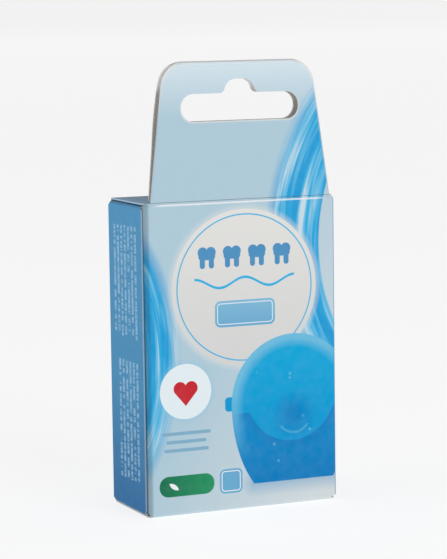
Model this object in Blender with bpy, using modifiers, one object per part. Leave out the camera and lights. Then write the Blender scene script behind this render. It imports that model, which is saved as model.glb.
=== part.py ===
"""Dental floss dispenser in its hanging carton.

The carton is one folded board: a glued sleeve with a doubled hang tab at the top of its front, a
closure that tucks in at the back, and a base that is tucked in and glued. The dispenser stands
inside it: a two-part case with a flip lid, a spool of floss and a steel cutter. The front faces -Y,
and the base is at Z = 0.
"""

import math

import bmesh
import bpy
from mathutils import Matrix, Vector

OBJECT_NAME = "floss_dispenser_in_carton"

# Carton, overall
CARTON_WIDTH = 0.0524
CARTON_DEPTH = 0.0237
CARTON_HEIGHT = 0.078  # base to the crease under the tab
BOARD = 0.0004  # thickness of the carton board
WALL_FOLD = 0.0010  # radius of a wall's corner, at the middle of the board
FLAP_FOLD = 0.0006  # radius of a fold into the top or the base, at the middle of the board
GLUE_LINE = 0.0001  # between two glued layers
CREASE_GAP = 0.0003  # between two panels that turn about a crease
SCORE_GAP = 0.0001  # between two panels that stay put at a score line
PANEL_GAP = 0.0003  # between two panels that lie on each other without glue

# Carton, seam at the front left corner
SEAM_SETBACK = 0.0010  # cut edge of the left wall, behind the front face
GLUE_FLAP_WIDTH = 0.0115
GLUE_FLAP_TAPER = 0.0025  # its free edge is shorter than its crease by this, at each end
GLUE_FLAP_DROP = 0.0015  # from the ends of the side wall
SEAM_TOP_DROP = 0.0008  # how far the corner at the seam falls from the front wall's top
SEAM_BASE_RISE = 0.0007  # and how far it rises from the front wall's lower end
SEAM_STEP = 0.0003  # from the corner to where the glue flap has its full drop
FOLD_END_SHORT = 0.0004  # a fold into the top or the base ends this far from the wall's corner
SEAM_FOLD_SHORT = 0.0001  # but the front's fold goes on round the corner at the seam
BACK_RELIEF = 0.0006  # how far the back corners are cut down at the top

# Hang tab
TAB_HEIGHT = 0.03415  # above its crease
TAB_LEFT_SHOULDER = 0.00225  # from the carton's side to the tab, along the crease
TAB_RIGHT_SHOULDER = 0.00155
TAB_TAPER = 0.0044  # how much each side draws in from the crease to the top
TAB_CORNER = 0.0065
TAB_LEAN_ANGLE = math.radians(1.9)
TAB_SPREAD = 0.0032  # front face to back face, where the two plies stand widest apart
TAB_TOP_FOLD = 0.0010  # radius at the middle of the board
# Height along the back ply, and its distance from the front face, as shares of the whole
TAB_BACK_SHARES = (
    (1.0, 0.75),
    (0.877, 0.81),
    (0.801, 0.905),
    (0.695, 0.99),
    (0.604, 1.0),
    (0.513, 0.94),
    (0.437, 0.845),
    (0.346, 0.75),
    (0.194, 0.656),
    (0.088, 0.562),
    (0.010, 0.47),
)

# Hang slot
SLOT_OFFSET = 0.0007  # to the right of the carton's middle
SLOT_HALF_LENGTH = 0.0159
SLOT_DROP = 0.01475  # from the tab's top to the slot's lower edge
SLOT_HEIGHT = 0.0068
SLOT_CORNER_SHARE = 0.485  # of the slot's height
SLOT_BUMP_RISE = 0.00345  # above the rest of the slot
SLOT_BUMP_HALF_WIDTH = 0.0045  # at its foot
SLOT_BUMP_TAPER_SHARE = 0.38  # how much each side draws in, of the rise
SLOT_BUMP_CORNER_SHARE = 0.88
SLOT_BUMP_FILLET_SHARE = 0.42

# Top closure and its tuck flap
CLOSURE_SIDE_GAP = 0.0005  # from the carton's side to the closure's edge
CLOSURE_CORNER = 0.0012  # rounding of its back corners
CLOSURE_ROOT = 0.0005  # reach of the closure under the tab's back ply
CLOSURE_HINGE_BACK = 0.00015  # hinge line, behind the foot of the tab's back ply
CLOSURE_HINGE_UP = 0.00005  # and above the closure
TUCK_LENGTH = 0.0110
TUCK_BACK_GAP = 0.0005  # from the back wall to the tuck flap
TUCK_SIDE_GAP = 0.0012
TUCK_CORNER = 0.0070

# Dust flaps, top and base
DUST_FLAP_LENGTH = 0.0145
DUST_FLAP_FRONT_GAP = 0.0014  # from the front wall
DUST_FLAP_BACK_GAP = 0.0026  # from the back wall
DUST_FLAP_TAPER = 0.0032
DUST_FLAP_CORNER = 0.0025
BASE_PANEL_SIDE_GAP = 0.0006  # from the carton's side to the panel's edge
BASE_FLAP_SIDE_GAP = 0.0014

# Dispenser case: a round dome over sides that run in to a flat base
DOME_RADIUS = 0.0200
CASE_BELOW_CENTRE = 0.0240
CASE_BASE_HALF_WIDTH = 0.0130
CASE_BASE_CORNER = 0.0015
CASE_DEPTH = 0.0160
CASE_EDGE = 0.0024  # rounding of the outer edges
NECK_EDGE = 0.0012
CASE_WALL = 0.0012
LOW_WALL = 0.0014  # below the lid, where the case is a single wall
LOW_WALL_TOP = 0.0136  # below the dome's centre
CASE_PARTING = 0.0002  # between the two shells
LID_WALL = 0.0012
LID_CLEARANCE = 0.0003
NECK_TOP = 0.0125  # flat under the lid, above the dome's centre
STAND_GAP = 0.0003  # between the dispenser and the board it stands on

# Flip lid
LID_PIVOT_LEFT = 0.0125  # left of the dome's centre
LID_PIVOT_UP = 0.0095
LID_SWEEP_RADIUS = 0.0147  # lower edge of the lid on the case's faces
LID_SWEEP_RIGHT = 0.0005
LID_SWEEP_UP = 0.0025
LID_LIP_DROP = 0.0028  # the lid's right end, below the dome's centre
KNUCKLE_RADIUS = 0.0036
TRUNNION_RADIUS = 0.0012
TRUNNION_CLEARANCE = 0.0002
TRUNNION_LENGTH = 0.0013  # inward from the lid's cheek
KNUCKLE_CLEARANCE = 0.0003
LID_STOP_ANGLE = math.radians(198)  # the case's shoulder, seen from the hinge
LID_EDGE_ANGLE = math.radians(105)  # the lid's edge, seen from the hinge
BAND_START = 0.0024  # where the lid's rim starts, right of the pivot
NIB_REACH = 0.0018  # thumb nib, out from the dome
NIB_TOP = 0.0020  # above the dome's centre
NIB_TIP_DROP = 0.0011
NIB_HALF_DEPTH = 0.0040
NIB_UNDER_EDGE = 0.0003  # rounding of its underside
NIB_TIP_EDGE = 0.0006  # and of its tip
DIMPLE_RADIUS = 0.0048
DIMPLE_DEPTH = 0.0007
DIMPLE_DROP = 0.0043
DIMPLE_RIM_SHARE = 1.3  # how far the cut goes on past the dish's edge

# Spool and winding
SPOOL_DROP = 0.0045  # below the dome's centre
SPOOL_FLANGE_RADIUS = 0.0143
SPOOL_HUB_RADIUS = 0.0062
SPOOL_BORE_RADIUS = 0.0039
SPOOL_SIDE_GAP = 0.0007  # from the spool's end to the case's wall
FLANGE_THICKNESS = 0.0008
POST_RADIUS = 0.0036
POST_WALL = 0.0009
POST_RING_RADIUS = 0.0052
POST_RING_GAP = 0.0002  # from the spool's end to the ring that it runs against
POST_TIP_CLEARANCE = 0.0002  # from the post's side to the ring of the other shell
WINDING_RADIUS = 0.0126
WINDING_CROWN = 0.0004
WINDING_GAP = 0.0001

# Posts that hold the two shells together: two low ones, and one under the lid
LOW_POST_SIDE = 0.0098  # from the case's middle
LOW_POST_DROP = 0.0196  # below the dome's centre
HIGH_POST_RIGHT = 0.0122
HIGH_POST_UP = 0.0082
SHELL_POSTS = (
    (-LOW_POST_SIDE, -LOW_POST_DROP),
    (LOW_POST_SIDE, -LOW_POST_DROP),
    (HIGH_POST_RIGHT, HIGH_POST_UP),
)
SHELL_POST_RADIUS = 0.0018
SHELL_PIN_RADIUS = 0.0009
SHELL_PIN_CLEARANCE = 0.0002
SHELL_PIN_REACH = 0.0026
SHELL_PIN_HOLE = 0.0032

# Floss guide, cutter and strand
GUIDE_LEFT = 0.0060
GUIDE_RIGHT = 0.0115
GUIDE_HALF_DEPTH = 0.0040
GUIDE_THICKNESS = 0.0012
GUIDE_CORNER = 0.0015
GUIDE_SEAT_GAP = 0.0003  # between the plate and the neck that it sits on
EYELET_RIGHT = 0.0080
EYELET_RADIUS = 0.0016
EYELET_HOLE_RADIUS = 0.0008
EYELET_RISE = 0.0007
EYELET_DROP = 0.0017
EYELET_CLEARANCE = 0.0002
BLADE_THICKNESS = 0.0003
BLADE_HALF_DEPTH = 0.0028
BLADE_FOOT = 0.0042
BLADE_RIGHT = 0.0058  # right end of the blade's foot
BLADE_RISE = 0.0019
BLADE_NOTCH_HALF = 0.0006
BLADE_NOTCH_DEPTH = 0.0010
BLADE_SEAT_GAP = 0.0001
STRAND_RADIUS = 0.00035
STRAND_LIFT = 0.0002  # strand's side above the winding

# Colours, linear
PRINT_PALE = (0.42, 0.57, 0.66)
PRINT_BLUE = (0.07, 0.23, 0.45)
BOARD_BARE = (0.62, 0.63, 0.62)
CASE_BLUE = (0.01, 0.25, 0.55)
CASE_WHITE = (0.75, 0.78, 0.80)
SPOOL_WHITE = (0.80, 0.80, 0.78)
FLOSS_WHITE = (0.85, 0.87, 0.85)
STEEL = (0.60, 0.61, 0.62)

# Fineness of round stretches, and the reach of a cut past what it cuts
FOLD_STEPS = 4
CORNER_STEPS = 6
DOME_STEPS = 28
SIDE_STEPS = 8
ROUND_STEPS = 24
SPOOL_STEPS = 40
EDGE_SEGMENTS = 3
SEAM_LEVEL_STEPS = 2  # steps of the seam corner that stay level with the front wall
OVERRUN = 0.0020
WELD = 0.000001
CREASE_ANGLE = math.radians(35)  # edges sharper than this are shaded crisp

FRONT_VIEW = Matrix.Rotation(math.radians(90), 4, "X")  # outline's x, y become x, z
SIDE_VIEW = Matrix(((0, 0, 1, 0), (1, 0, 0, 0), (0, 1, 0, 0), (0, 0, 0, 1)))  # x, y become y, z
CROSS_VIEW = Matrix(((1, 0, 0, 0), (0, 0, 1, 0), (0, 1, 0, 0), (0, 0, 0, 1)))  # x, y become x, z


def clear_scene():
    for thing in list(bpy.data.objects):
        bpy.data.objects.remove(thing, do_unlink=True)


def new_collection(name, hidden=False):
    made = bpy.data.collections.new(name)
    bpy.context.scene.collection.children.link(made)
    made.hide_render = hidden
    return made


clear_scene()
PARTS = new_collection(OBJECT_NAME)
CUTTERS = new_collection("cutters", hidden=True)


def material(name, colour, roughness, metallic=0.0):
    made = bpy.data.materials.new(name)
    made.use_nodes = True
    shader = made.node_tree.nodes["Principled BSDF"]
    shader.inputs["Base Color"].default_value = (*colour, 1.0)
    shader.inputs["Roughness"].default_value = roughness
    shader.inputs["Metallic"].default_value = metallic
    made.diffuse_color = (*colour, 1.0)
    return made


def finish_part(thing, colour, roughness, metallic=0.0):
    """Make an object one of the part's nodes: modifiers applied, round stretches shaded smooth."""
    mesh = evaluated_mesh(thing)
    thing.modifiers.clear()
    thing.data = mesh
    mesh.name = thing.name
    mesh.shade_smooth()
    mesh.set_sharp_from_angle(angle=CREASE_ANGLE)
    thing.data.materials.clear()
    thing.data.materials.append(material(thing.name + "_finish", colour, roughness, metallic))
    for home in list(thing.users_collection):
        home.objects.unlink(thing)
    PARTS.objects.link(thing)
    return thing


def mesh_object(name, mesh, matrix=None):
    thing = bpy.data.objects.new(name, mesh)
    if matrix is not None:
        thing.matrix_world = matrix
    CUTTERS.objects.link(thing)
    thing.display_type = "WIRE"
    thing.hide_render = True
    return thing


def show(thing):
    thing.hide_render = False
    thing.display_type = "TEXTURED"
    return thing


# Outlines


def arc(centre, radius, start, end, steps):
    """Points on a circle, both ends included, angles in radians."""
    turns = [start + (end - start) * step / steps for step in range(steps + 1)]
    return [(centre[0] + radius * math.cos(a), centre[1] + radius * math.sin(a)) for a in turns]


def rounded(corner, before, after, radius, steps):
    """The round stretch that replaces one corner of an outline."""
    corner, before, after = Vector(corner), Vector(before), Vector(after)
    back = (before - corner).normalized()
    ahead = (after - corner).normalized()
    half = back.angle(ahead) / 2
    centre = corner + (back + ahead).normalized() * (radius / math.sin(half))
    start = corner + back * (radius / math.tan(half)) - centre
    turn = start.angle_signed(corner + ahead * (radius / math.tan(half)) - centre)
    made = []
    for step in range(steps + 1):
        spin = Matrix.Rotation(-turn * step / steps, 2)
        made.append(tuple(centre + spin @ start))
    return made


def rounded_outline(corners, radii, steps=CORNER_STEPS):
    """A closed outline whose corners are rounded, each by its own radius, or left sharp by zero."""
    made = []
    for index, (corner, radius) in enumerate(zip(corners, radii)):
        if radius == 0:
            made.append(tuple(corner))
            continue
        before = corners[index - 1]
        after = corners[(index + 1) % len(corners)]
        made.extend(rounded(corner, before, after, radius, steps))
    return made


def evaluated_mesh(thing):
    bpy.context.view_layer.update()
    graph = bpy.context.evaluated_depsgraph_get()
    mesh = bpy.data.meshes.new_from_object(thing.evaluated_get(graph))
    shape = bmesh.new()
    shape.from_mesh(mesh)
    bmesh.ops.remove_doubles(shape, verts=shape.verts, dist=WELD)
    bmesh.ops.recalc_face_normals(shape, faces=shape.faces)
    shape.to_mesh(mesh)
    shape.free()
    return mesh


def plate(name, outline, low, high, view):
    """A flat outline drawn out from low to high along the axis that the view looks along."""
    curve = bpy.data.curves.new(name + "_outline", "CURVE")
    curve.dimensions = "2D"
    curve.fill_mode = "BOTH"
    curve.extrude = (high - low) / 2
    spline = curve.splines.new("POLY")
    spline.points.add(len(outline) - 1)
    for point, (x, y) in zip(spline.points, outline):
        point.co = (x, y, 0, 1)
    spline.use_cyclic_u = True
    guide = bpy.data.objects.new(name + "_outline", curve)
    CUTTERS.objects.link(guide)
    mesh = evaluated_mesh(guide)
    bpy.data.objects.remove(guide, do_unlink=True)
    # The front view's drawing axis is -Y, so low and high change places there.
    middle = (low + high) / 2
    shift = Matrix.Translation((0, 0, -middle if view is FRONT_VIEW else middle))
    return mesh_object(name, mesh, view @ shift)


TOP_VIEW = Matrix.Identity(4)


def drawn_sheet(name, path, low, high, view, thickness):
    """A sheet bent along an open path, drawn out from low to high, its middle surface on the path."""
    shape = bmesh.new()
    rows = []
    for x, y in path:
        ends = (view @ Vector((x, y, low)), view @ Vector((x, y, high)))
        rows.append([shape.verts.new(end) for end in ends])
    for one, two in zip(rows, rows[1:]):
        shape.faces.new((one[0], two[0], two[1], one[1]))
    mesh = bpy.data.meshes.new(name)
    shape.to_mesh(mesh)
    shape.free()
    thing = mesh_object(name, mesh)
    thicken(thing, thickness)
    return thing


def thicken(thing, thickness):
    board = thing.modifiers.new("thickness", "SOLIDIFY")
    board.thickness = thickness
    board.offset = 0
    board.use_even_offset = True


def boolean(thing, other, operation):
    made = thing.modifiers.new(other.name, "BOOLEAN")
    made.operation = operation
    made.solver = "EXACT"
    made.object = other
    return made


def box(name, low, high):
    shape = bmesh.new()
    bmesh.ops.create_cube(shape, size=1)
    size = Vector(high) - Vector(low)
    bmesh.ops.scale(shape, vec=size, verts=shape.verts)
    bmesh.ops.translate(shape, vec=Vector(low) + size / 2, verts=shape.verts)
    mesh = bpy.data.meshes.new(name)
    shape.to_mesh(mesh)
    shape.free()
    return mesh_object(name, mesh)


def rod(name, centre, radius, low, high, axis="Y", steps=ROUND_STEPS):
    """A cylinder from low to high along Y or Z, about a centre in the other two coordinates."""
    shape = bmesh.new()
    bmesh.ops.create_cone(
        shape, cap_ends=True, segments=steps, radius1=radius, radius2=radius, depth=high - low
    )
    mesh = bpy.data.meshes.new(name)
    shape.to_mesh(mesh)
    shape.free()
    middle = (low + high) / 2
    if axis == "Y":
        place = Matrix.Translation((centre[0], middle, centre[1])) @ FRONT_VIEW
    else:
        place = Matrix.Translation((centre[0], centre[1], middle))
    return mesh_object(name, mesh, place)


def turned(name, profile, centre, steps):
    """A ring about an axis along Y. Its profile is closed, as radius and y, forward on its outer side."""
    shape = bmesh.new()
    points = [shape.verts.new((radius, 0, along)) for radius, along in profile]
    for one, two in zip(points, points[1:] + points[:1]):
        shape.edges.new((one, two))
    mesh = bpy.data.meshes.new(name)
    shape.to_mesh(mesh)
    shape.free()
    place = Matrix.Translation((centre[0], 0, centre[1])) @ FRONT_VIEW.inverted()
    thing = mesh_object(name, mesh, place)
    screw = thing.modifiers.new("turn", "SCREW")
    screw.steps = steps
    screw.render_steps = steps
    screw.use_merge_vertices = True
    screw.merge_threshold = WELD
    screw.use_smooth_shade = False
    return thing


# Carton sizes that follow from the driving ones

QUARTER = math.radians(90)
HALF_WIDTH = CARTON_WIDTH / 2
HALF_DEPTH = CARTON_DEPTH / 2
HALF_BOARD = BOARD / 2
WALL_X = HALF_WIDTH - HALF_BOARD  # middle of a side wall's board
WALL_Y = HALF_DEPTH - HALF_BOARD  # middle of the front and back walls' board
FLAP_X = HALF_WIDTH - BOARD - GLUE_LINE - HALF_BOARD  # middle of the glue flap's board
BASE_PANEL_Z = HALF_BOARD
BASE_FLAP_Z = BASE_PANEL_Z + BOARD + GLUE_LINE
BASE_BEND_Z = BASE_PANEL_Z + FLAP_FOLD  # where a fold into the base panel starts
FLOOR_Z = BASE_FLAP_Z + HALF_BOARD  # what the dispenser stands on
CLOSURE_Z = CARTON_HEIGHT - HALF_BOARD
DUST_FLAP_Z = CLOSURE_Z - BOARD - PANEL_GAP
SIDE_TOP = DUST_FLAP_Z - FLAP_FOLD
BACK_TOP = CARTON_HEIGHT - BOARD - PANEL_GAP
BACK_FOOT = BOARD + PANEL_GAP


def mixed(one, two, share):
    return one + (two - one) * share


def corner_stations(centre, start, end, low_ends, high_ends, level=0, relief=0):
    """A wall's corner: its ends stay level for some steps, then blend into those of the next wall."""
    made = []
    for step, point in enumerate(arc(centre, WALL_FOLD, start, end, FOLD_STEPS)):
        share = max(0, step - level) / (FOLD_STEPS - level)
        high = mixed(*high_ends, share) - relief * math.sin(2 * QUARTER * share)
        made.append((*point, mixed(*low_ends, share), high))
    return made


SIDE_ENDS = (BASE_FLAP_Z + FLAP_FOLD, SIDE_TOP)
BACK_ENDS = (BACK_FOOT, BACK_TOP)
FRONT_ENDS = (BASE_BEND_Z, CARTON_HEIGHT)
FLAP_ENDS = (SIDE_ENDS[0] + GLUE_FLAP_DROP, SIDE_ENDS[1] - GLUE_FLAP_DROP)
SEAM_ENDS = (FRONT_ENDS[0] + SEAM_BASE_RISE, FRONT_ENDS[1] - SEAM_TOP_DROP)
CORNER_X = WALL_X - WALL_FOLD  # where a wall's flat part ends
CORNER_Y = WALL_Y - WALL_FOLD
SEAM_CORNER_X = FLAP_X - WALL_FOLD
FOLD_X = CORNER_X - FOLD_END_SHORT  # where a fold into the base or the top ends
FOLD_Y = CORNER_Y - FOLD_END_SHORT
SEAM_FOLD_X = SEAM_CORNER_X - SEAM_FOLD_SHORT


def pairs(one, two):
    """The lower ends of two walls, and their upper ends."""
    return (one[0], two[0]), (one[1], two[1])


def sleeve_walls():
    """The sleeve seen from above, wall by wall: x, y and the board's lower and upper ends."""
    left = [
        (-WALL_X, SEAM_SETBACK - HALF_DEPTH, *SIDE_ENDS),
        (-WALL_X, -FOLD_Y, *SIDE_ENDS),
        (-WALL_X, FOLD_Y, *SIDE_ENDS),
    ]
    back_left = corner_stations(
        (-CORNER_X, CORNER_Y),
        2 * QUARTER,
        QUARTER,
        *pairs(SIDE_ENDS, BACK_ENDS),
        relief=BACK_RELIEF,
    )
    back = [(-FOLD_X, WALL_Y, *BACK_ENDS), (FOLD_X, WALL_Y, *BACK_ENDS)]
    back_right = corner_stations(
        (CORNER_X, CORNER_Y), QUARTER, 0, *pairs(BACK_ENDS, SIDE_ENDS), relief=BACK_RELIEF
    )
    right = [(WALL_X, FOLD_Y, *SIDE_ENDS), (WALL_X, -FOLD_Y, *SIDE_ENDS)]
    front_right = corner_stations(
        (CORNER_X, -CORNER_Y), 0, -QUARTER, *pairs(SIDE_ENDS, FRONT_ENDS)
    )
    front = [(FOLD_X, -WALL_Y, *FRONT_ENDS), (-SEAM_FOLD_X, -WALL_Y, *FRONT_ENDS)]
    seam = corner_stations(
        (-SEAM_CORNER_X, -CORNER_Y),
        -QUARTER,
        -2 * QUARTER,
        *pairs(FRONT_ENDS, SEAM_ENDS),
        level=SEAM_LEVEL_STEPS,
    )
    flap_start = (-FLAP_X, SEAM_STEP - CORNER_Y, *FLAP_ENDS)
    flap_end = (
        -FLAP_X,
        GLUE_FLAP_WIDTH - HALF_DEPTH,
        FLAP_ENDS[0] + GLUE_FLAP_TAPER,
        FLAP_ENDS[1] - GLUE_FLAP_TAPER,
    )
    seam += [flap_start, flap_end]
    return [left, back_left, back, back_right, right, front_right, front, seam]


def fold_over(shape, edge, inward, upward):
    """A quarter turn of board from a wall's end to a straight line inside the carton."""
    reaches = [FLAP_FOLD - (corner.co - edge[0].co).dot(inward) for corner in edge]
    row = list(edge)
    for step in range(1, FOLD_STEPS + 1):
        turn = QUARTER * step / FOLD_STEPS
        rise = upward * FLAP_FOLD * math.sin(turn)
        following = []
        for corner, reach in zip(edge, reaches):
            shift = inward * reach * (1 - math.cos(turn)) + rise
            following.append(shape.verts.new(corner.co + shift))
        for one, two, beyond, beside in zip(row, row[1:], following[1:], following):
            shape.faces.new((one, two, beyond, beside))
        row = following


def carton_sleeve():
    walls = sleeve_walls()
    shape = bmesh.new()
    rows = []
    for wall in walls:
        ends = [((x, y, low), (x, y, high)) for x, y, low, high in wall]
        rows.append([(shape.verts.new(low), shape.verts.new(high)) for low, high in ends])
    run = [row for wall in rows for row in wall]
    for one, two in zip(run, run[1:]):
        shape.faces.new((one[0], two[0], two[1], one[1]))
    left, _, _, _, right, _, front, seam = rows
    up = Vector((0, 0, 1))
    rightward = Vector((1, 0, 0))
    backward = Vector((0, 1, 0))
    for pair, inward in ((left[1:], rightward), (right, -rightward)):
        fold_over(shape, [row[1] for row in pair], inward, up)
        fold_over(shape, [row[0] for row in pair], inward, -up)
    round_corner = front + seam[: SEAM_LEVEL_STEPS + 1]
    fold_over(shape, [row[0] for row in round_corner], backward, -up)
    bmesh.ops.recalc_face_normals(shape, faces=shape.faces)
    mesh = bpy.data.meshes.new("carton_sleeve")
    shape.to_mesh(mesh)
    shape.free()
    sleeve = show(mesh_object("carton_sleeve", mesh))
    thicken(sleeve, BOARD)
    return finish_part(sleeve, PRINT_PALE, 0.35)


# Hang tab

TAB_BASE = CARTON_HEIGHT + SCORE_GAP
TAB_TOP = TAB_BASE + TAB_HEIGHT
TAB_FOLD_Z = TAB_TOP - HALF_BOARD - TAB_TOP_FOLD  # centre of the fold at the tab's top


def tab_front_y(height):
    """Middle of the front ply."""
    return -WALL_Y + (height - TAB_BASE) * math.tan(TAB_LEAN_ANGLE)


def tab_path():
    """The tab seen from its side: up the front ply, over the fold and down the back ply."""
    fold_y = tab_front_y(TAB_FOLD_Z) + TAB_TOP_FOLD
    path = [(tab_front_y(TAB_BASE), TAB_BASE)]
    path += arc((fold_y, TAB_FOLD_Z), TAB_TOP_FOLD, 2 * QUARTER, 0, 2 * FOLD_STEPS)
    for height_share, spread_share in TAB_BACK_SHARES[1:]:
        height = mixed(TAB_BASE, TAB_FOLD_Z, height_share)
        path.append((tab_front_y(height) + TAB_SPREAD * spread_share - BOARD, height))
    return path


def hang_tab():
    tab = show(drawn_sheet("hang_tab", tab_path(), -HALF_WIDTH, HALF_WIDTH, SIDE_VIEW, BOARD))
    tab_left = TAB_LEFT_SHOULDER - HALF_WIDTH
    tab_right = HALF_WIDTH - TAB_RIGHT_SHOULDER
    top = TAB_TOP + SCORE_GAP
    outline = rounded_outline(
        [
            (tab_left, CARTON_HEIGHT),
            (tab_right, CARTON_HEIGHT),
            (tab_right - TAB_TAPER, top),
            (tab_left + TAB_TAPER, top),
        ],
        [0, 0, TAB_CORNER, TAB_CORNER],
    )
    front = -HALF_DEPTH - OVERRUN
    trim = plate("tab_trim", outline, front, 0, FRONT_VIEW)
    boolean(tab, trim, "INTERSECT")
    left = SLOT_OFFSET - SLOT_HALF_LENGTH
    right = SLOT_OFFSET + SLOT_HALF_LENGTH
    bottom = TAB_TOP - SLOT_DROP
    top = bottom + SLOT_HEIGHT
    bump_left = SLOT_OFFSET - SLOT_BUMP_HALF_WIDTH
    bump_right = SLOT_OFFSET + SLOT_BUMP_HALF_WIDTH
    bump_top = top + SLOT_BUMP_RISE
    end = SLOT_CORNER_SHARE * SLOT_HEIGHT
    taper = SLOT_BUMP_TAPER_SHARE * SLOT_BUMP_RISE
    crown = SLOT_BUMP_CORNER_SHARE * SLOT_BUMP_RISE
    fillet = SLOT_BUMP_FILLET_SHARE * SLOT_BUMP_RISE
    corners = [
        (left, bottom),
        (right, bottom),
        (right, top),
        (bump_right, top),
        (bump_right - taper, bump_top),
        (bump_left + taper, bump_top),
        (bump_left, top),
        (left, top),
    ]
    slot = rounded_outline(corners, [end, end, end, fillet, crown, crown, fillet, end])
    boolean(tab, plate("slot_cut", slot, front, 0, FRONT_VIEW), "DIFFERENCE")
    return finish_part(tab, PRINT_PALE, 0.35)


# Closure, flaps and base

TAB_FOOT_Y = TAB_SPREAD * TAB_BACK_SHARES[-1][1] - HALF_DEPTH  # back face of the back ply
CLOSURE_HINGE = (0, TAB_FOOT_Y + CLOSURE_HINGE_BACK, CARTON_HEIGHT + CLOSURE_HINGE_UP)
TUCK_Y = WALL_Y - HALF_BOARD - TUCK_BACK_GAP - HALF_BOARD
BASE_TUCK_Y = WALL_Y - HALF_BOARD - GLUE_LINE - HALF_BOARD
CLOSURE_END_Z = CLOSURE_Z - FLAP_FOLD
TUCK_TOP = CLOSURE_END_Z - CREASE_GAP
TUCK_HINGE = (0, TUCK_Y, CLOSURE_END_Z - CREASE_GAP / 2)
DUST_HINGE_X = WALL_X - FLAP_FOLD - CREASE_GAP / 2


def top_closure():
    path = [(TAB_FOOT_Y - CLOSURE_ROOT, CLOSURE_Z)]
    path += arc((TUCK_Y - FLAP_FOLD, CLOSURE_END_Z), FLAP_FOLD, QUARTER, 0, FOLD_STEPS)
    half = HALF_WIDTH - CLOSURE_SIDE_GAP
    closure = show(drawn_sheet("top_closure", path, -half, half, SIDE_VIEW, BOARD))
    back = TUCK_Y + HALF_BOARD + SCORE_GAP
    corners = [(-half, -HALF_DEPTH), (half, -HALF_DEPTH), (half, back), (-half, back)]
    outline = rounded_outline(corners, [0, 0, CLOSURE_CORNER, CLOSURE_CORNER])
    trim = plate("closure_trim", outline, CARTON_HEIGHT - OVERRUN, CARTON_HEIGHT + OVERRUN, TOP_VIEW)
    boolean(closure, trim, "INTERSECT")
    return finish_part(closure, PRINT_BLUE, 0.35)


def tuck_flap():
    half = HALF_WIDTH - BOARD - TUCK_SIDE_GAP
    outline = rounded_outline(
        [
            (-half, TUCK_TOP - TUCK_LENGTH),
            (half, TUCK_TOP - TUCK_LENGTH),
            (half, TUCK_TOP),
            (-half, TUCK_TOP),
        ],
        [TUCK_CORNER, TUCK_CORNER, 0, 0],
    )
    flap = plate("tuck_flap", outline, TUCK_Y - HALF_BOARD, TUCK_Y + HALF_BOARD, FRONT_VIEW)
    return finish_part(show(flap), PRINT_BLUE, 0.35)


def dust_flap(name, side):
    """One of the two flaps under the closure: side is -1 for the left one, 1 for the right."""
    root = side * (DUST_HINGE_X - CREASE_GAP / 2)
    tip = root - side * DUST_FLAP_LENGTH
    front = DUST_FLAP_FRONT_GAP + BOARD - HALF_DEPTH
    back = HALF_DEPTH - BOARD - DUST_FLAP_BACK_GAP
    corners = [(root, front), (tip, front), (tip, back - DUST_FLAP_TAPER), (root, back)]
    radii = [0, DUST_FLAP_CORNER, DUST_FLAP_CORNER, 0]
    outline = rounded_outline(corners, radii)
    low = DUST_FLAP_Z - HALF_BOARD
    return finish_part(show(plate(name, outline, low, low + BOARD, TOP_VIEW)), BOARD_BARE, 0.7)


def base_panel():
    """The panel that the carton stands on, from the front wall to its fold inside the back wall."""
    path = [(FLAP_FOLD + SCORE_GAP - WALL_Y, BASE_PANEL_Z)]
    path += arc((BASE_TUCK_Y - FLAP_FOLD, BASE_BEND_Z), FLAP_FOLD, -QUARTER, 0, FOLD_STEPS)
    half = HALF_WIDTH - BASE_PANEL_SIDE_GAP
    panel = show(drawn_sheet("base_panel", path, -half, half, SIDE_VIEW, BOARD))
    return finish_part(panel, PRINT_PALE, 0.4)


def base_tuck_flap():
    """The base panel's flap, glued inside the back wall."""
    half = HALF_WIDTH - BOARD - TUCK_SIDE_GAP
    low = BASE_BEND_Z + SCORE_GAP
    high = low + TUCK_LENGTH
    corners = [(-half, low), (half, low), (half, high), (-half, high)]
    outline = rounded_outline(corners, [0, 0, TUCK_CORNER, TUCK_CORNER])
    near = BASE_TUCK_Y - HALF_BOARD
    flap = plate("base_tuck_flap", outline, near, near + BOARD, FRONT_VIEW)
    return finish_part(show(flap), PRINT_BLUE, 0.4)


def base_flap(name, side):
    """One of the two flaps over the base panel: side is -1 for the left one, 1 for the right."""
    root = side * (WALL_X - FLAP_FOLD - SCORE_GAP)
    tip = root - side * DUST_FLAP_LENGTH
    edge = HALF_DEPTH - BOARD - BASE_FLAP_SIDE_GAP
    corners = [(root, -edge), (tip, -edge), (tip, edge), (root, edge)]
    outline = rounded_outline(corners, [0, DUST_FLAP_CORNER, DUST_FLAP_CORNER, 0])
    low = BASE_FLAP_Z - HALF_BOARD
    return finish_part(show(plate(name, outline, low, low + BOARD, TOP_VIEW)), BOARD_BARE, 0.7)


# Dispenser

CENTRE_Z = FLOOR_Z + STAND_GAP + CASE_BELOW_CENTRE  # the dome's centre
SIDE_HEIGHT = CASE_BELOW_CENTRE / math.sqrt(1 - (CASE_BASE_HALF_WIDTH / DOME_RADIUS) ** 2)
HALF_CASE = CASE_DEPTH / 2
LID_INNER = HALF_CASE - LID_WALL
NECK_HALF = LID_INNER - LID_CLEARANCE
NECK_INSET = LID_WALL + LID_CLEARANCE
CAVITY_HALF = NECK_HALF - CASE_WALL
CAVITY_INSET = NECK_INSET + CASE_WALL
SPOOL_HALF_WIDTH = CAVITY_HALF - SPOOL_SIDE_GAP
NECK_TOP_Z = CENTRE_Z + NECK_TOP
PIVOT = (-LID_PIVOT_LEFT, CENTRE_Z + LID_PIVOT_UP)
SPOOL_CENTRE = (0, CENTRE_Z - SPOOL_DROP)


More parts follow.
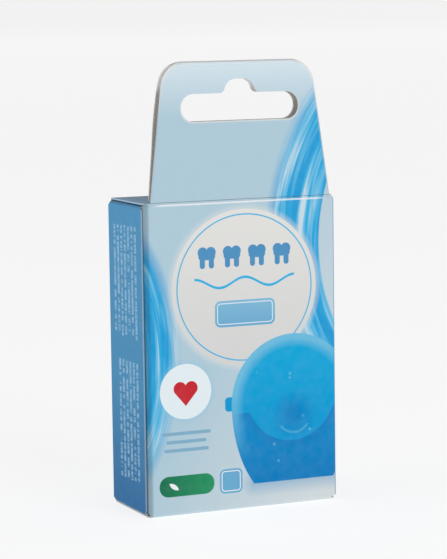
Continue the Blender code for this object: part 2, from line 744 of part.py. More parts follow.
def case_outline(inset, top=None):
    """The case from the front, drawn in by an inset, with a flat top where one is given."""
    radius = DOME_RADIUS - inset
    side = SIDE_HEIGHT - inset
    base = CASE_BELOW_CENTRE - inset
    half = radius * math.sqrt(1 - (base / side) ** 2)
    points = arc((0, CENTRE_Z), radius, 0, 2 * QUARTER, DOME_STEPS)
    if top is not None:
        points = [(x, min(z, top)) for x, z in points]
    radii = [0] * len(points)
    drops = [base * step / SIDE_STEPS for step in range(1, SIDE_STEPS)]
    widths = [radius * math.sqrt(1 - (drop / side) ** 2) for drop in drops]
    left = [(-width, CENTRE_Z - drop) for width, drop in zip(widths, drops)]
    right = [(width, CENTRE_Z - drop) for width, drop in zip(widths[::-1], drops[::-1])]
    points += left + [(-half, CENTRE_Z - base), (half, CENTRE_Z - base)] + right
    radii += [0] * len(left) + [CASE_BASE_CORNER] * 2 + [0] * len(right)
    return rounded_outline(points, radii, FOLD_STEPS)


def lofted(name, sections):
    """A solid through outlines of equal counts, each at its own y."""
    shape = bmesh.new()
    rings = [[shape.verts.new((x, y, z)) for x, z in outline] for y, outline in sections]
    for one, two in zip(rings, rings[1:]):
        for index, corner in enumerate(one):
            beyond = (index + 1) % len(one)
            shape.faces.new((corner, one[beyond], two[beyond], two[index]))
    shape.faces.new(rings[0])
    shape.faces.new(rings[-1])
    bmesh.ops.recalc_face_normals(shape, faces=shape.faces)
    mesh = bpy.data.meshes.new(name)
    shape.to_mesh(mesh)
    shape.free()
    return mesh_object(name, mesh)


def rounded_block(name, half_depth, inset, edge, top=None):
    """The case's shape with its front and back edges rounded."""
    near = []
    for step in range(EDGE_SEGMENTS + 1):
        turn = QUARTER * step / EDGE_SEGMENTS
        drawn_in = edge * (1 - math.sin(turn))
        level = None if top is None else top - drawn_in
        outline = case_outline(inset + drawn_in, level)
        near.append((half_depth - edge * (1 - math.cos(turn)), outline))
    far = [(-y, outline) for y, outline in near[::-1]]
    return lofted(name, near + far)


def lid_zone(name, sweep_radius, lip_z, edge_angle):
    """What belongs to the lid, seen from the front."""
    beyond = DOME_RADIUS + OVERRUN
    middle = (LID_SWEEP_RIGHT, CENTRE_Z + LID_SWEEP_UP)
    first = math.atan2(PIVOT[1] - middle[1], PIVOT[0] - middle[0])
    last = 4 * QUARTER - math.asin((middle[1] - lip_z) / sweep_radius)
    reach = 2 * KNUCKLE_RADIUS + DOME_RADIUS / 2
    edge = (PIVOT[0] + reach * math.cos(edge_angle), PIVOT[1] + reach * math.sin(edge_angle))
    high = CENTRE_Z + beyond
    outline = [(beyond + NIB_REACH, lip_z), (beyond + NIB_REACH, high)]
    if edge_angle > 2 * QUARTER:
        outline.append((edge[0], high))
    outline.append(edge)
    outline += arc(middle, sweep_radius, first, last, DOME_STEPS)
    return plate(name, outline, -CASE_DEPTH, CASE_DEPTH, FRONT_VIEW)


def shell_posts(shell, sign):
    """Posts from a shell's wall to the parting, each with a pin (front) or a hole (rear)."""
    part = sign * CASE_PARTING / 2
    for index, (right, up) in enumerate(SHELL_POSTS):
        centre = (right, CENTRE_Z + up)
        wall = CAVITY_HALF + CASE_WALL / 2 if up > 0 else HALF_CASE - LOW_WALL / 2
        low, high = sorted((sign * wall, part))
        label = f"{shell.name}_post_{index}"
        boolean(shell, rod(label, centre, SHELL_POST_RADIUS, low, high), "UNION")
        if sign < 0:
            pin = rod(label + "_pin", centre, SHELL_PIN_RADIUS, part - OVERRUN, SHELL_PIN_REACH)
            boolean(shell, pin, "UNION")
        else:
            width = SHELL_PIN_RADIUS + SHELL_PIN_CLEARANCE
            hole = rod(label + "_hole", centre, width, -OVERRUN, SHELL_PIN_HOLE)
            boolean(shell, hole, "DIFFERENCE")


def case_shell(name, sign):
    """One half of the case: sign is -1 for the front, 1 for the rear."""
    shell = show(rounded_block(name, HALF_CASE, 0, CASE_EDGE))
    boolean(shell, CASE_CUTS["lid_space"], "DIFFERENCE")
    boolean(shell, CASE_CUTS["knuckle_space"], "DIFFERENCE")
    boolean(shell, CASE_CUTS["neck"], "UNION")
    boolean(shell, CASE_CUTS["cavity"], "DIFFERENCE")
    boolean(shell, CASE_CUTS["low_cavity"], "DIFFERENCE")
    boolean(shell, CASE_CUTS["trunnion_hole"], "DIFFERENCE")
    boolean(shell, CASE_CUTS["eyelet_hole"], "DIFFERENCE")
    low, high = sorted((sign * CASE_PARTING / 2, sign * CASE_DEPTH))
    reach = CASE_BELOW_CENTRE + OVERRUN
    corner = (-reach, low, CENTRE_Z - reach)
    half = box(name + "_half", corner, (reach, high, CENTRE_Z + reach))
    boolean(shell, half, "INTERSECT")
    shell_posts(shell, sign)
    near, far = SPOOL_HALF_WIDTH + POST_RING_GAP, CAVITY_HALF + CASE_WALL / 2
    inner = POST_RADIUS - POST_WALL
    if sign > 0:
        profile = [
            (POST_RING_RADIUS, near),
            (POST_RADIUS, near),
            (POST_RADIUS, -SPOOL_HALF_WIDTH),
            (inner, -SPOOL_HALF_WIDTH),
            (inner, far),
            (POST_RING_RADIUS, far),
        ]
    else:
        inner = POST_RADIUS + POST_TIP_CLEARANCE
        profile = [
            (POST_RING_RADIUS, -far),
            (inner, -far),
            (inner, -near),
            (POST_RING_RADIUS, -near),
        ]
    boolean(shell, turned(name + "_spool_seat", profile, SPOOL_CENTRE, ROUND_STEPS), "UNION")
    return finish_part(shell, CASE_WHITE, 0.3)


def case_cuts():
    lid_clearance_z = CENTRE_Z - LID_LIP_DROP - LID_CLEARANCE
    cuts = {
        "lid_space": lid_zone("lid_space", LID_SWEEP_RADIUS, lid_clearance_z, LID_STOP_ANGLE),
        "knuckle_space": rod(
            "knuckle_space", PIVOT, KNUCKLE_RADIUS + KNUCKLE_CLEARANCE, -CASE_DEPTH, CASE_DEPTH
        ),
        "neck": rounded_block("neck", NECK_HALF, NECK_INSET, NECK_EDGE, NECK_TOP_Z),
        "trunnion_hole": rod(
            "trunnion_hole",
            PIVOT,
            TRUNNION_RADIUS + TRUNNION_CLEARANCE,
            -CASE_DEPTH,
            CASE_DEPTH,
        ),
        "eyelet_hole": rod(
            "eyelet_hole",
            (EYELET_RIGHT, 0),
            EYELET_RADIUS + EYELET_CLEARANCE,
            NECK_TOP_Z - CASE_WALL - OVERRUN,
            NECK_TOP_Z + OVERRUN,
            "Z",
        ),
    }
    inside = case_outline(CAVITY_INSET, NECK_TOP_Z - CASE_WALL)
    cuts["cavity"] = lofted("cavity", [(CAVITY_HALF, inside), (-CAVITY_HALF, inside)])
    low_inside = case_outline(LOW_WALL)
    low_half = HALF_CASE - LOW_WALL
    low_cavity = lofted("low_cavity", [(low_half, low_inside), (-low_half, low_inside)])
    reach = CASE_BELOW_CENTRE + OVERRUN
    corner = (-reach, -CASE_DEPTH, CENTRE_Z - reach)
    below = box("below_lid", corner, (reach, CASE_DEPTH, CENTRE_Z - LOW_WALL_TOP))
    boolean(low_cavity, below, "INTERSECT")
    cuts["low_cavity"] = low_cavity
    return cuts


def dimple():
    """A shallow dish cut for a fingertip, in the lid's front."""
    ball = (DIMPLE_RADIUS**2 + DIMPLE_DEPTH**2) / (2 * DIMPLE_DEPTH)
    face = -HALF_CASE
    rim = math.asin(DIMPLE_RADIUS / ball) * DIMPLE_RIM_SHARE
    profile = [(0, face - OVERRUN)]
    for step in range(CORNER_STEPS + 1):
        turn = rim * step / CORNER_STEPS
        profile.append((ball * math.sin(turn), face + DIMPLE_DEPTH - ball * (1 - math.cos(turn))))
    return turned("dimple", profile, (0, CENTRE_Z - DIMPLE_DROP), ROUND_STEPS)


def flip_lid():
    lip_z = CENTRE_Z - LID_LIP_DROP
    lid = show(rounded_block("flip_lid", HALF_CASE, 0, CASE_EDGE))
    sweep = LID_SWEEP_RADIUS - LID_CLEARANCE
    zone = lid_zone("lid_outline", sweep, lip_z, LID_EDGE_ANGLE)
    boolean(lid, zone, "INTERSECT")
    knuckle = rod("knuckles", PIVOT, KNUCKLE_RADIUS, -HALF_CASE, HALF_CASE, steps=SPOOL_STEPS)
    boolean(lid, knuckle, "UNION")
    inside = case_outline(LID_WALL)
    hollow = lofted("lid_hollow", [(LID_INNER, inside), (-LID_INNER, inside)])
    boolean(lid, hollow, "DIFFERENCE")
    rim_end = PIVOT[0] + BAND_START
    far = DOME_RADIUS + OVERRUN
    corner = (-far, -LID_INNER, lip_z - DOME_RADIUS)
    boolean(lid, box("rim_cut", corner, (rim_end, LID_INNER, CENTRE_Z + far)), "DIFFERENCE")
    for label, sign in (("front", -1), ("rear", 1)):
        inner = LID_INNER - TRUNNION_LENGTH
        ends = sorted((sign * inner, sign * (LID_INNER + LID_WALL / 2)))
        boolean(lid, rod(label + "_trunnion", PIVOT, TRUNNION_RADIUS, *ends), "UNION")
    root = DOME_RADIUS - LID_WALL / 2
    nib_outline = [
        (root, lip_z),
        (DOME_RADIUS + NIB_REACH / 2, lip_z),
        (DOME_RADIUS + NIB_REACH, CENTRE_Z - NIB_TIP_DROP),
        (root, CENTRE_Z + NIB_TOP),
    ]
    nib_outline = rounded_outline(nib_outline, [0, NIB_UNDER_EDGE, NIB_TIP_EDGE, 0], FOLD_STEPS)
    nib = plate("thumb_nib", nib_outline, -NIB_HALF_DEPTH, NIB_HALF_DEPTH, FRONT_VIEW)
    boolean(lid, nib, "UNION")
    boolean(lid, dimple(), "DIFFERENCE")
    return finish_part(lid, CASE_BLUE, 0.2)


def floss_spool():
    inner = SPOOL_HALF_WIDTH - FLANGE_THICKNESS
    profile = [
        (SPOOL_FLANGE_RADIUS, -SPOOL_HALF_WIDTH),
        (SPOOL_BORE_RADIUS, -SPOOL_HALF_WIDTH),
        (SPOOL_BORE_RADIUS, SPOOL_HALF_WIDTH),
        (SPOOL_FLANGE_RADIUS, SPOOL_HALF_WIDTH),
        (SPOOL_FLANGE_RADIUS, inner),
        (SPOOL_HUB_RADIUS, inner),
        (SPOOL_HUB_RADIUS, -inner),
        (SPOOL_FLANGE_RADIUS, -inner),
    ]
    spool = show(turned("floss_spool", profile, SPOOL_CENTRE, SPOOL_STEPS))
    return finish_part(spool, SPOOL_WHITE, 0.4)


def floss_winding():
    half = SPOOL_HALF_WIDTH - FLANGE_THICKNESS - WINDING_GAP
    inner = SPOOL_HUB_RADIUS + WINDING_GAP
    crown = WINDING_RADIUS + WINDING_CROWN
    profile = [
        (WINDING_RADIUS, -half),
        (inner, -half),
        (inner, half),
        (WINDING_RADIUS, half),
        (crown, half / 2),
        (crown, -half / 2),
    ]
    winding = show(turned("floss_winding", profile, SPOOL_CENTRE, SPOOL_STEPS))
    return finish_part(winding, FLOSS_WHITE, 0.6)


GUIDE_LOW = NECK_TOP_Z + GUIDE_SEAT_GAP
GUIDE_HIGH = GUIDE_LOW + GUIDE_THICKNESS
EYELET_TOP = GUIDE_HIGH + EYELET_RISE


def guide_insert():
    depth = GUIDE_HALF_DEPTH
    corners = [
        (-GUIDE_LEFT, -depth),
        (GUIDE_RIGHT, -depth),
        (GUIDE_RIGHT, depth),
        (-GUIDE_LEFT, depth),
    ]
    outline = rounded_outline(corners, [GUIDE_CORNER] * 4, FOLD_STEPS)
    guide = show(plate("guide_insert", outline, GUIDE_LOW, GUIDE_HIGH, TOP_VIEW))
    place = (EYELET_RIGHT, 0)
    tube = rod("eyelet", place, EYELET_RADIUS, GUIDE_LOW - EYELET_DROP, EYELET_TOP, "Z")
    boolean(guide, tube, "UNION")
    low = GUIDE_LOW - EYELET_DROP - OVERRUN
    high = EYELET_TOP + OVERRUN
    boolean(guide, rod("floss_hole", place, EYELET_HOLE_RADIUS, low, high, "Z"), "DIFFERENCE")
    return finish_part(guide, CASE_WHITE, 0.3)


def cutter_blade():
    low = GUIDE_HIGH + BLADE_SEAT_GAP
    middle = low + BLADE_THICKNESS / 2
    left = BLADE_RIGHT - BLADE_FOOT
    path = [(BLADE_RIGHT, middle), (left, middle), (left - BLADE_RISE / 4, low + BLADE_RISE)]
    front = -BLADE_HALF_DEPTH
    blade = show(
        drawn_sheet("cutter_blade", path, front, BLADE_HALF_DEPTH, CROSS_VIEW, BLADE_THICKNESS)
    )
    top = low + BLADE_RISE + OVERRUN
    bottom = low + BLADE_RISE - BLADE_NOTCH_DEPTH
    corner = (left - OVERRUN, -BLADE_NOTCH_HALF, bottom)
    notch = box("blade_notch", corner, (left + OVERRUN, BLADE_NOTCH_HALF, top))
    boolean(blade, notch, "DIFFERENCE")
    return finish_part(blade, STEEL, 0.25, 1.0)


def floss_strand():
    """Floss from the winding through the eyelet and over the cutter."""
    running = WINDING_RADIUS + WINDING_CROWN + STRAND_LIFT + STRAND_RADIUS
    reach_z = GUIDE_LOW - EYELET_DROP - SPOOL_CENTRE[1]
    span = math.hypot(EYELET_RIGHT, reach_z)
    leaving = math.atan2(reach_z, EYELET_RIGHT) - math.acos(running / span)
    path = arc(SPOOL_CENTRE, running, leaving - QUARTER / 2, leaving, FOLD_STEPS)
    over = EYELET_TOP + 2 * STRAND_RADIUS
    path.append((EYELET_RIGHT, GUIDE_LOW - EYELET_DROP))
    path.append((EYELET_RIGHT, EYELET_TOP))
    path.append((EYELET_RIGHT - STRAND_RADIUS, over))
    notch = GUIDE_HIGH + BLADE_SEAT_GAP + BLADE_RISE - BLADE_NOTCH_DEPTH
    blade = BLADE_RIGHT - BLADE_FOOT
    path.append((blade, notch + 2 * STRAND_RADIUS))
    path.append((blade - BLADE_FOOT / 2, notch))
    curve = bpy.data.curves.new("floss_strand", "CURVE")
    curve.dimensions = "3D"
    curve.bevel_depth = STRAND_RADIUS
    curve.bevel_resolution = 2
    curve.use_fill_caps = True
    spline = curve.splines.new("POLY")
    spline.points.add(len(path) - 1)
    for point, (x, z) in zip(spline.points, path):
        point.co = (x, 0, z, 1)
    guide = bpy.data.objects.new("strand_line", curve)
    CUTTERS.objects.link(guide)
    strand = show(mesh_object("floss_strand", evaluated_mesh(guide)))
    bpy.data.objects.remove(guide, do_unlink=True)
    return finish_part(strand, FLOSS_WHITE, 0.6)


def on_axis(name, place, things):
    """An empty on a joint's axis that carries what turns or slides there."""
    carrier = bpy.data.objects.new(name, None)
    carrier.location = place
    PARTS.objects.link(carrier)
    bpy.context.view_layer.update()
    for thing in things:
        thing.parent = carrier
        thing.matrix_parent_inverse = carrier.matrix_world.inverted()
    return carrier


carton_sleeve()
hang_tab()
base_panel()
base_tuck_flap()
base_flap("base_left_flap", -1)
base_flap("base_right_flap", 1)
closure = top_closure()
tuck = tuck_flap()
left_flap = dust_flap("left_dust_flap", -1)
right_flap = dust_flap("right_dust_flap", 1)
CASE_CUTS = case_cuts()
front_shell = case_shell("case_front", -1)
rear_shell = case_shell("case_rear", 1)
lid = flip_lid()
spool = floss_spool()
winding = floss_winding()
held = [front_shell, rear_shell, guide_insert(), cutter_blade(), floss_strand()]

closure_axis = on_axis("closure_axis", CLOSURE_HINGE, [closure])
tuck_axis = on_axis("tuck_axis", TUCK_HINGE, [tuck])
tuck_axis.parent = closure_axis
tuck_axis.matrix_parent_inverse = closure_axis.matrix_world.inverted()
on_axis("left_dust_axis", (-DUST_HINGE_X, 0, DUST_FLAP_Z), [left_flap])
on_axis("right_dust_axis", (DUST_HINGE_X, 0, DUST_FLAP_Z), [right_flap])
lid_axis = on_axis("lid_axis", (PIVOT[0], 0, PIVOT[1]), [lid])
spool_axis = on_axis("spool_axis", (SPOOL_CENTRE[0], 0, SPOOL_CENTRE[1]), [spool, winding])
on_axis("dispenser_lift", (0, 0, CENTRE_Z), held + [lid_axis, spool_axis])
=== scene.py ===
"""Looks for a floss dispenser in its hanging carton.

The carton's board gets its print, its bare inside and its cut edges, and the dispenser gets moulded
plastic, steel and waxed floss. Shader maths works in millimetres, on each piece's own coordinates,
which are the frame's own as long as nothing has moved.
"""

import functools
import math

import bmesh
import bpy
from mathutils import Matrix, Vector


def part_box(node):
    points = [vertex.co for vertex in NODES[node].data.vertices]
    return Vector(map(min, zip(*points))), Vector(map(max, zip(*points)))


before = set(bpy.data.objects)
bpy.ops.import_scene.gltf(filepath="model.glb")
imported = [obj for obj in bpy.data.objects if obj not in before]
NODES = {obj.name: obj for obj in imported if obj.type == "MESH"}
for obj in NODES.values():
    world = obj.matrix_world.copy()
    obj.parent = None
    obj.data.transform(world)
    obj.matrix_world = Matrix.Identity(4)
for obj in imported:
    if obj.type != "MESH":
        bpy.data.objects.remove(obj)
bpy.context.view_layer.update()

MM = 0.001
PER_METRE = 1 / MM

# Carton sizes in millimetres: boxes from the frame, and the rest to match the carton's source
_, SLEEVE_HIGH = (corner * PER_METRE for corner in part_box("carton_sleeve"))
TAB_LOW, TAB_HIGH = (corner * PER_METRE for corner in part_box("hang_tab"))
HALF_WIDTH = SLEEVE_HIGH.x
HALF_DEPTH = SLEEVE_HIGH.y
CARTON_HEIGHT = SLEEVE_HIGH.z
CORNER = 1.2  # radius of a wall's corner, outside
SIDE_FOOT = 1.3  # where a side wall's fold to the base ends
SIDE_TOP = 76.5  # and where its fold to the top starts
FRONT_FOOT = 0.8  # where the front's own fold to the base ends
TAB_LEAN = math.tan(math.radians(1.9))
TAB_PARTING = 0.75  # from the tab's front face to the middle of the gap between its plies
TAB_TAPER = 4.4  # how far each side of the tab runs in, from its foot to its top
TAB_CORNER = 6.5
SLOT_CENTRE = (0.7, 100.9)
SLOT_HALVES = (15.9, 3.4)
SLOT_CORNER = 3.3
SLOT_BUMP = ((0.7, 104.1), 3.65)  # the bump over it, taken as a disc: centre and radius


def paint(red, green, blue):
    """A colour given as it looks on screen, from 0 to 255, made linear by the sRGB curve."""
    shares = [level / 255 for level in (red, green, blue)]
    return (*(s / 12.92 if s <= 0.04045 else ((s + 0.055) / 1.055) ** 2.4 for s in shares), 1.0)


# Inks of the front, the tab and the back
# The ground's paler top is painted light from above, up the tab
GROUND_LIT_TOP = paint(214, 228, 236)
GROUND = paint(174, 201, 215)
GROUND_PALE = paint(208, 216, 219)
OFF_WHITE = paint(224, 223, 220)
OFF_WHITE_LOW = paint(210, 211, 210)
SATIN = paint(44, 174, 223)
SATIN_DEEP = paint(32, 153, 211)
SATIN_PALE = paint(128, 194, 226)
SATIN_SHINE = paint(214, 224, 228)
PICTURE_LID = paint(10, 166, 216)
PICTURE_CASE = paint(6, 150, 208)
PICTURE_DARK = paint(6, 122, 188)
PICTURE_RIM = paint(108, 186, 220)
TOOTH_INK = paint(76, 143, 190)
LABEL_INK = paint(104, 168, 206)
LABEL_INK_PALE = paint(128, 184, 214)
SMALL_PRINT = paint(128, 172, 198)
MINT_DARK = paint(24, 114, 81)
MINT_LIGHT = paint(34, 146, 96)
BUBBLE_INK = paint(226, 236, 240)
HEART_INK = paint(196, 32, 44)
INK_WHITE = paint(236, 240, 242)

# Inks of the sides, the closure and the edges
# The side's three blues are one blue, painted lighter at the top and darker at the foot as painted
# light and shade
SIDE_HIGH = paint(68, 148, 196)
SIDE_MIDDLE = paint(60, 142, 190)
SIDE_SHADED_LOW = paint(0, 102, 160)
BAR_PALE = paint(180, 216, 238)
BEND_SHADE = paint(38, 62, 84)
CLOSURE_NEAR = paint(116, 178, 220)
CLOSURE_FAR = paint(98, 152, 192)
CLOSURE_RIM = paint(166, 200, 224)
# Painted shade of the gap under the closure
CLOSURE_GAP_SHADE = paint(22, 66, 104)
# Painted shade on the tab's worn rim, low down
TAB_RIM_SHADE = paint(176, 190, 198)
# Painted highlight along the tab's top fold
TOP_FOLD_HIGHLIGHT = paint(236, 248, 255)

# The board itself
# White of worn coating, also used for painted light on bare board and a painted highlight along the
# crease
WEAR_AND_LIGHT_WHITE = paint(248, 249, 250)
BARE_BOARD = paint(214, 213, 209)
BARE_SHADE = paint(190, 189, 185)

# Mouldings, steel and floss: each colour with the shade that it varies to
WHITE_PLASTIC = (paint(236, 240, 243), paint(224, 230, 235))
CASE_PLASTIC = (paint(10, 148, 208), paint(6, 134, 198))
LID_PLASTIC = (paint(16, 164, 214), paint(8, 150, 205))
SPOOL_PLASTIC = (paint(232, 233, 230), paint(222, 224, 221))
STEEL = (paint(205, 207, 209), paint(176, 178, 181))
FLOSS = (paint(240, 243, 240), paint(214, 222, 220))

STUDIO_WHITE = paint(255, 255, 255)
FLOOR_GREY = paint(150, 150, 150)

# Sockets of a Mix node that mixes colours: three inputs and the output
MIX_SHARE, MIX_ONE, MIX_OTHER, MIX_COLOUR = 0, 6, 7, 2


class Value:
    """A number that varies over a surface. Sums on it add Math nodes to its finish."""

    def __init__(self, finish, socket):
        self.finish = finish
        self.socket = socket

    def maths(self, operation, *others, **settings):
        inputs = dict(enumerate((self, *others)))
        return self.finish.node("ShaderNodeMath", {"operation": operation, **settings}, inputs)

    def __add__(self, other):
        return self.maths("ADD", other)

    __radd__ = __add__

    def __sub__(self, other):
        return self.maths("SUBTRACT", other)

    def __rsub__(self, other):
        return (self * -1) + other

    def __mul__(self, other):
        return self.maths("MULTIPLY", other)

    def __truediv__(self, other):
        return self.maths("DIVIDE", other)

    def __abs__(self):
        return self.maths("ABSOLUTE")

    def least(self, other):
        return self.maths("MINIMUM", other)

    def most(self, other):
        return self.maths("MAXIMUM", other)

    def sine(self):
        return self.maths("SINE")

    def root(self):
        return self.maths("SQRT")

    def clamped(self):
        return self.maths("ADD", 0, use_clamp=True)

    def rising(self, start, end):
        """0 at start and beyond it, 1 at end and beyond it, straight between them."""
        return ((self - start) * (1 / (end - start))).clamped()


class Finish:
    """A material in the making, with the surface's place in millimetres as x, y and z."""

    def __init__(self, name, **constants):
        self.material = bpy.data.materials.new(name)
        self.material.use_nodes = True
        self.tree = self.material.node_tree
        self.tree.nodes.clear()
        self.shader = self.tree.nodes.new("ShaderNodeBsdfPrincipled")
        output = self.tree.nodes.new("ShaderNodeOutputMaterial")
        self.tree.links.new(self.shader.outputs[0], output.inputs["Surface"])
        for name_of_socket, given in constants.items():
            self.set(name_of_socket.replace("_", " "), given)
        self.coordinates = self.node("ShaderNodeTexCoord", {}, {}, "Object")
        self.x, self.y, self.z = self.split(self.coordinates, PER_METRE)

    def node(self, kind, settings, inputs, output=0):
        """Any node: its settings first, then the values or links of its sockets."""
        made = self.tree.nodes.new(kind)
        for name, setting in settings.items():
            setattr(made, name, setting)
        for name, given in inputs.items():
            self.join(made.inputs[name], given)
        return Value(self, made.outputs[output])

    def join(self, socket, given):
        if isinstance(given, Value):
            self.tree.links.new(given.socket, socket)
        else:
            socket.default_value = given

    def set(self, name, given):
        self.join(self.shader.inputs[name], given)

    def split(self, vector, scale):
        made = self.tree.nodes.new("ShaderNodeSeparateXYZ")
        self.join(made.inputs[0], vector)
        return [Value(self, out) * scale for out in made.outputs]

    def facing(self):
        """The surface's own direction, as three numbers."""
        return self.split(self.node("ShaderNodeTexCoord", {}, {}, "Normal"), 1)

    def mix(self, share, one, other):
        inputs = {MIX_SHARE: share, MIX_ONE: one, MIX_OTHER: other}
        return self.node("ShaderNodeMix", {"data_type": "RGBA"}, inputs, MIX_COLOUR)

    def vector(self, x, y, z):
        return self.node("ShaderNodeCombineXYZ", {}, {0: x, 1: y, 2: z})

    def noise(self, grain, detail=2.0, stretch=(1, 1, 1)):
        """Noise from 0 to 1, a feature about grain millimetres across, longer where stretched."""
        inputs = {0: self.coordinates, 1: [PER_METRE / grain / longer for longer in stretch]}
        place = self.node("ShaderNodeVectorMath", {"operation": "MULTIPLY"}, inputs)
        return self.texture(place, detail)

    def texture(self, place, detail=1.0):
        """Noise from 0 to 1 at a place that is worked out, a feature about one unit across."""
        inputs = {"Vector": place, "Scale": 1.0, "Detail": detail}
        return self.node("ShaderNodeTexNoise", {}, inputs, "Fac")

    def bump(self, height):
        """Relief, its height in millimetres."""
        self.set("Normal", self.node("ShaderNodeBump", {}, {"Height": height, "Distance": MM}))


# Plane shapes, as distances in millimetres that are negative inside. A disc is given by its centre
# and radius, a pill by its centre, half sizes and corner.

PRINT_EDGE = 0.12  # width of a printed edge
STEP = (-0.05, 0.05)  # a border that looks sharp

# Parts of a tooth and a heart, as shares of its size
HUMP = ((0.38, 0.22), 0.46)
CROWN = ((0, -0.02), (0.78, 0.42), 0.3)
ROOT = ((0.42, -0.55), (0.24, 0.62), 0.23)
LOBE = ((0.46, 0.3), 0.52)
POINT_LEAN = (0.76, 0.65)  # direction of its flank, across and up
POINT_REACH = 0.675
POINT_TOP = 0.1


def inside(distance, edge=PRINT_EDGE):
    """1 inside a shape and 0 outside it, with a printed edge of some width."""
    return (0.5 - distance * (1 / edge)).clamped()


def ring(distance, half):
    """A line along a shape's outline, with half its width on each side."""
    return abs(distance) - half


def disc(x, z, centre, radius):
    across = x - centre[0]
    along = z - centre[1]
    return (across * across + along * along).root() - radius


def pill(x, z, centre, halves, corner):
    across = (abs(x - centre[0]) - (halves[0] - corner)).most(0)
    along = (abs(z - centre[1]) - (halves[1] - corner)).most(0)
    return (across * across + along * along).root() - corner


def block(x, z, left, right, low, high):
    """A rectangle with sharp corners."""
    across = abs(x - (left + right) / 2) - (right - left) / 2
    return across.most(abs(z - (low + high) / 2) - (high - low) / 2)


def scaled(pair, size):
    return pair[0] * size, pair[1] * size


def tooth(x, z, centre, size):
    """A plain tooth: a broad crown with two humps, over two roots."""
    across = abs(x - centre[0])
    up = z - centre[1]
    humps = disc(across, up, scaled(HUMP[0], size), HUMP[1] * size)
    crown, root = (
        pill(across, up, scaled(middle, size), scaled(halves, size), corner * size)
        for middle, halves, corner in (CROWN, ROOT)
    )
    return humps.least(crown).least(root)


def heart(x, z, centre, size):
    """A plain heart: two discs over a point."""
    across = abs(x - centre[0])
    up = z - centre[1]
    lobe = disc(across, up, scaled(LOBE[0], size), LOBE[1] * size)
    flank = across * POINT_LEAN[0] - up * POINT_LEAN[1] - POINT_REACH * size
    return lobe.least(flank.most(up - POINT_TOP * size))


# Artwork. Places on the front and the back are x and z in millimetres, on the sides y and z. A pair
# of levels says where something starts to show and where it shows in full.

GROUND_LIGHT_HEIGHTS = (99, 113)  # where painted light lightens the ground up the tab
GROUND_FADE = (-0.012, 0.022, 0.62)  # the paler ground's share: by z, by x, and at the middle

# Satin bands: centre, radius, half width, and where in the noise they lie
SATIN_BANDS = (((70, 66), 56, 7.5, 0.0), ((-76, 40), 54, 5.5, 7.3))
STREAK_SCALE = (0.42, 0.035)  # features to a millimetre, across a band and along it
STREAK_DETAIL = 2.0
FINE_SCALE = (1.5, 0.05)
FINE_PLACE = 3.0
DEEP_LEVELS = (0.62, 0.38)
PALE_PARTS = (0.7, 0.3)  # how much of the broad and of the fine streaks
PALE_LEVELS = (0.48, 0.62)
SHINE_PARTS = (0.6, 0.4)
SHINE_LEVELS = (0.58, 0.68)
SHINE_SHARE = 0.8
BAND_START = (-0.15, 0.15)  # a crisp border on the side of the circle's centre
BAND_END = (-0.2, 3.4)  # and one that fades out on the other side


def satin(finish, colour, x, z, centre, radius, half, phase):
    """A broad satin band along a circle, with streaks of sheen that run along it."""
    distance = disc(x, z, centre, radius)
    across, along = STREAK_SCALE
    place = finish.vector(distance * across + phase, z * along, x * along)
    streaks = finish.texture(place, STREAK_DETAIL)
    across, along = FINE_SCALE
    fine = finish.texture(finish.vector(distance * across, z * along + phase, FINE_PLACE))
    ink = finish.mix(streaks.rising(*DEEP_LEVELS), SATIN, SATIN_DEEP)
    pale = (streaks * PALE_PARTS[0] + fine * PALE_PARTS[1]).rising(*PALE_LEVELS)
    ink = finish.mix(pale, ink, SATIN_PALE)
    shine = (streaks * SHINE_PARTS[0] + fine * SHINE_PARTS[1]).rising(*SHINE_LEVELS)
    ink = finish.mix(shine * SHINE_SHARE, ink, SATIN_SHINE)
    near = (distance + half).rising(*BAND_START)
    far = (half - distance).rising(*BAND_END)
    return finish.mix(near * far, colour, ink)


# The pictured dispenser
PICTURE_CENTRE = (14.0, 26.5)
PICTURE_RADIUS = 17.0
PICTURE_FOOT = 6.1  # height of its flat base
FLANK_DROP = 1.58  # the flanks follow an ellipse, this many times as high as the dome
SHADOW = ((14.0, 6.1), (12.24, 1.2), 1.1)
SHADOW_FADE = (2.4, -1.2)
SHADOW_SHARE = 0.5
NIB = ((-3.1, 26.8), (1.7, 1.8), 0.9)
CASE_HEIGHTS = (-1.2, 0.6)  # over the centre, as shares of the radius: from dark to light blue
LID_HEIGHTS = (-0.6, 1.0)
LID_SWEEP = ((13.6, 28.6), 12.495)
LID_FOOT = 24.1
LID_SHADOW_REACH = 1.6
LID_SHADOW_EDGE = 1.5
LID_SHADOW_SHARE = 0.5
LID_LINE_HALF = 0.2
LID_EDGE = 0.3
LID_LINE_SHARE = 0.7
DISH = ((14.2, 22.9), 4.1)
DISH_EDGE = 5.0
DISH_SHARE = 0.75
GLINT = ((14.2, 22.9), 4.6)
GLINT_HALF = 0.22
GLINT_TOP = 20.1  # only the arc under this height is lit
GLINT_EDGE = 0.5
GLINT_SHARE = 0.5
RIM_DEPTHS = (3.4, 1.0)  # in from the body's outline
RIM_LIGHT = (0.02, 0.05, 0.45)  # its strength: by x to the left, by z upward, and at the centre
DROP_SCALE = 0.25  # small drops of water, in cells to a millimetre; their sizes are in cells
DROP_SIZES = (0.14, 0.08)
DROP_SHARE = 0.3
SPARK_SIZES = (0.05, 0.02)
SPARK_SHARE = 0.6


def picture_body(x, z):
    """Outline of the pictured case: a round dome over sides that run in to a flat base."""
    across, up = PICTURE_CENTRE
    dome = disc(x, z, PICTURE_CENTRE, PICTURE_RADIUS)
    flank_x = (x - across) * (1 / PICTURE_RADIUS)
    flank_z = (z - up) * (1 / (FLANK_DROP * PICTURE_RADIUS))
    flank = ((flank_x * flank_x + flank_z * flank_z).root() - 1) * PICTURE_RADIUS
    above = (z - up).rising(*STEP)
    return (dome * above + flank * (1 - above)).most(PICTURE_FOOT - z)


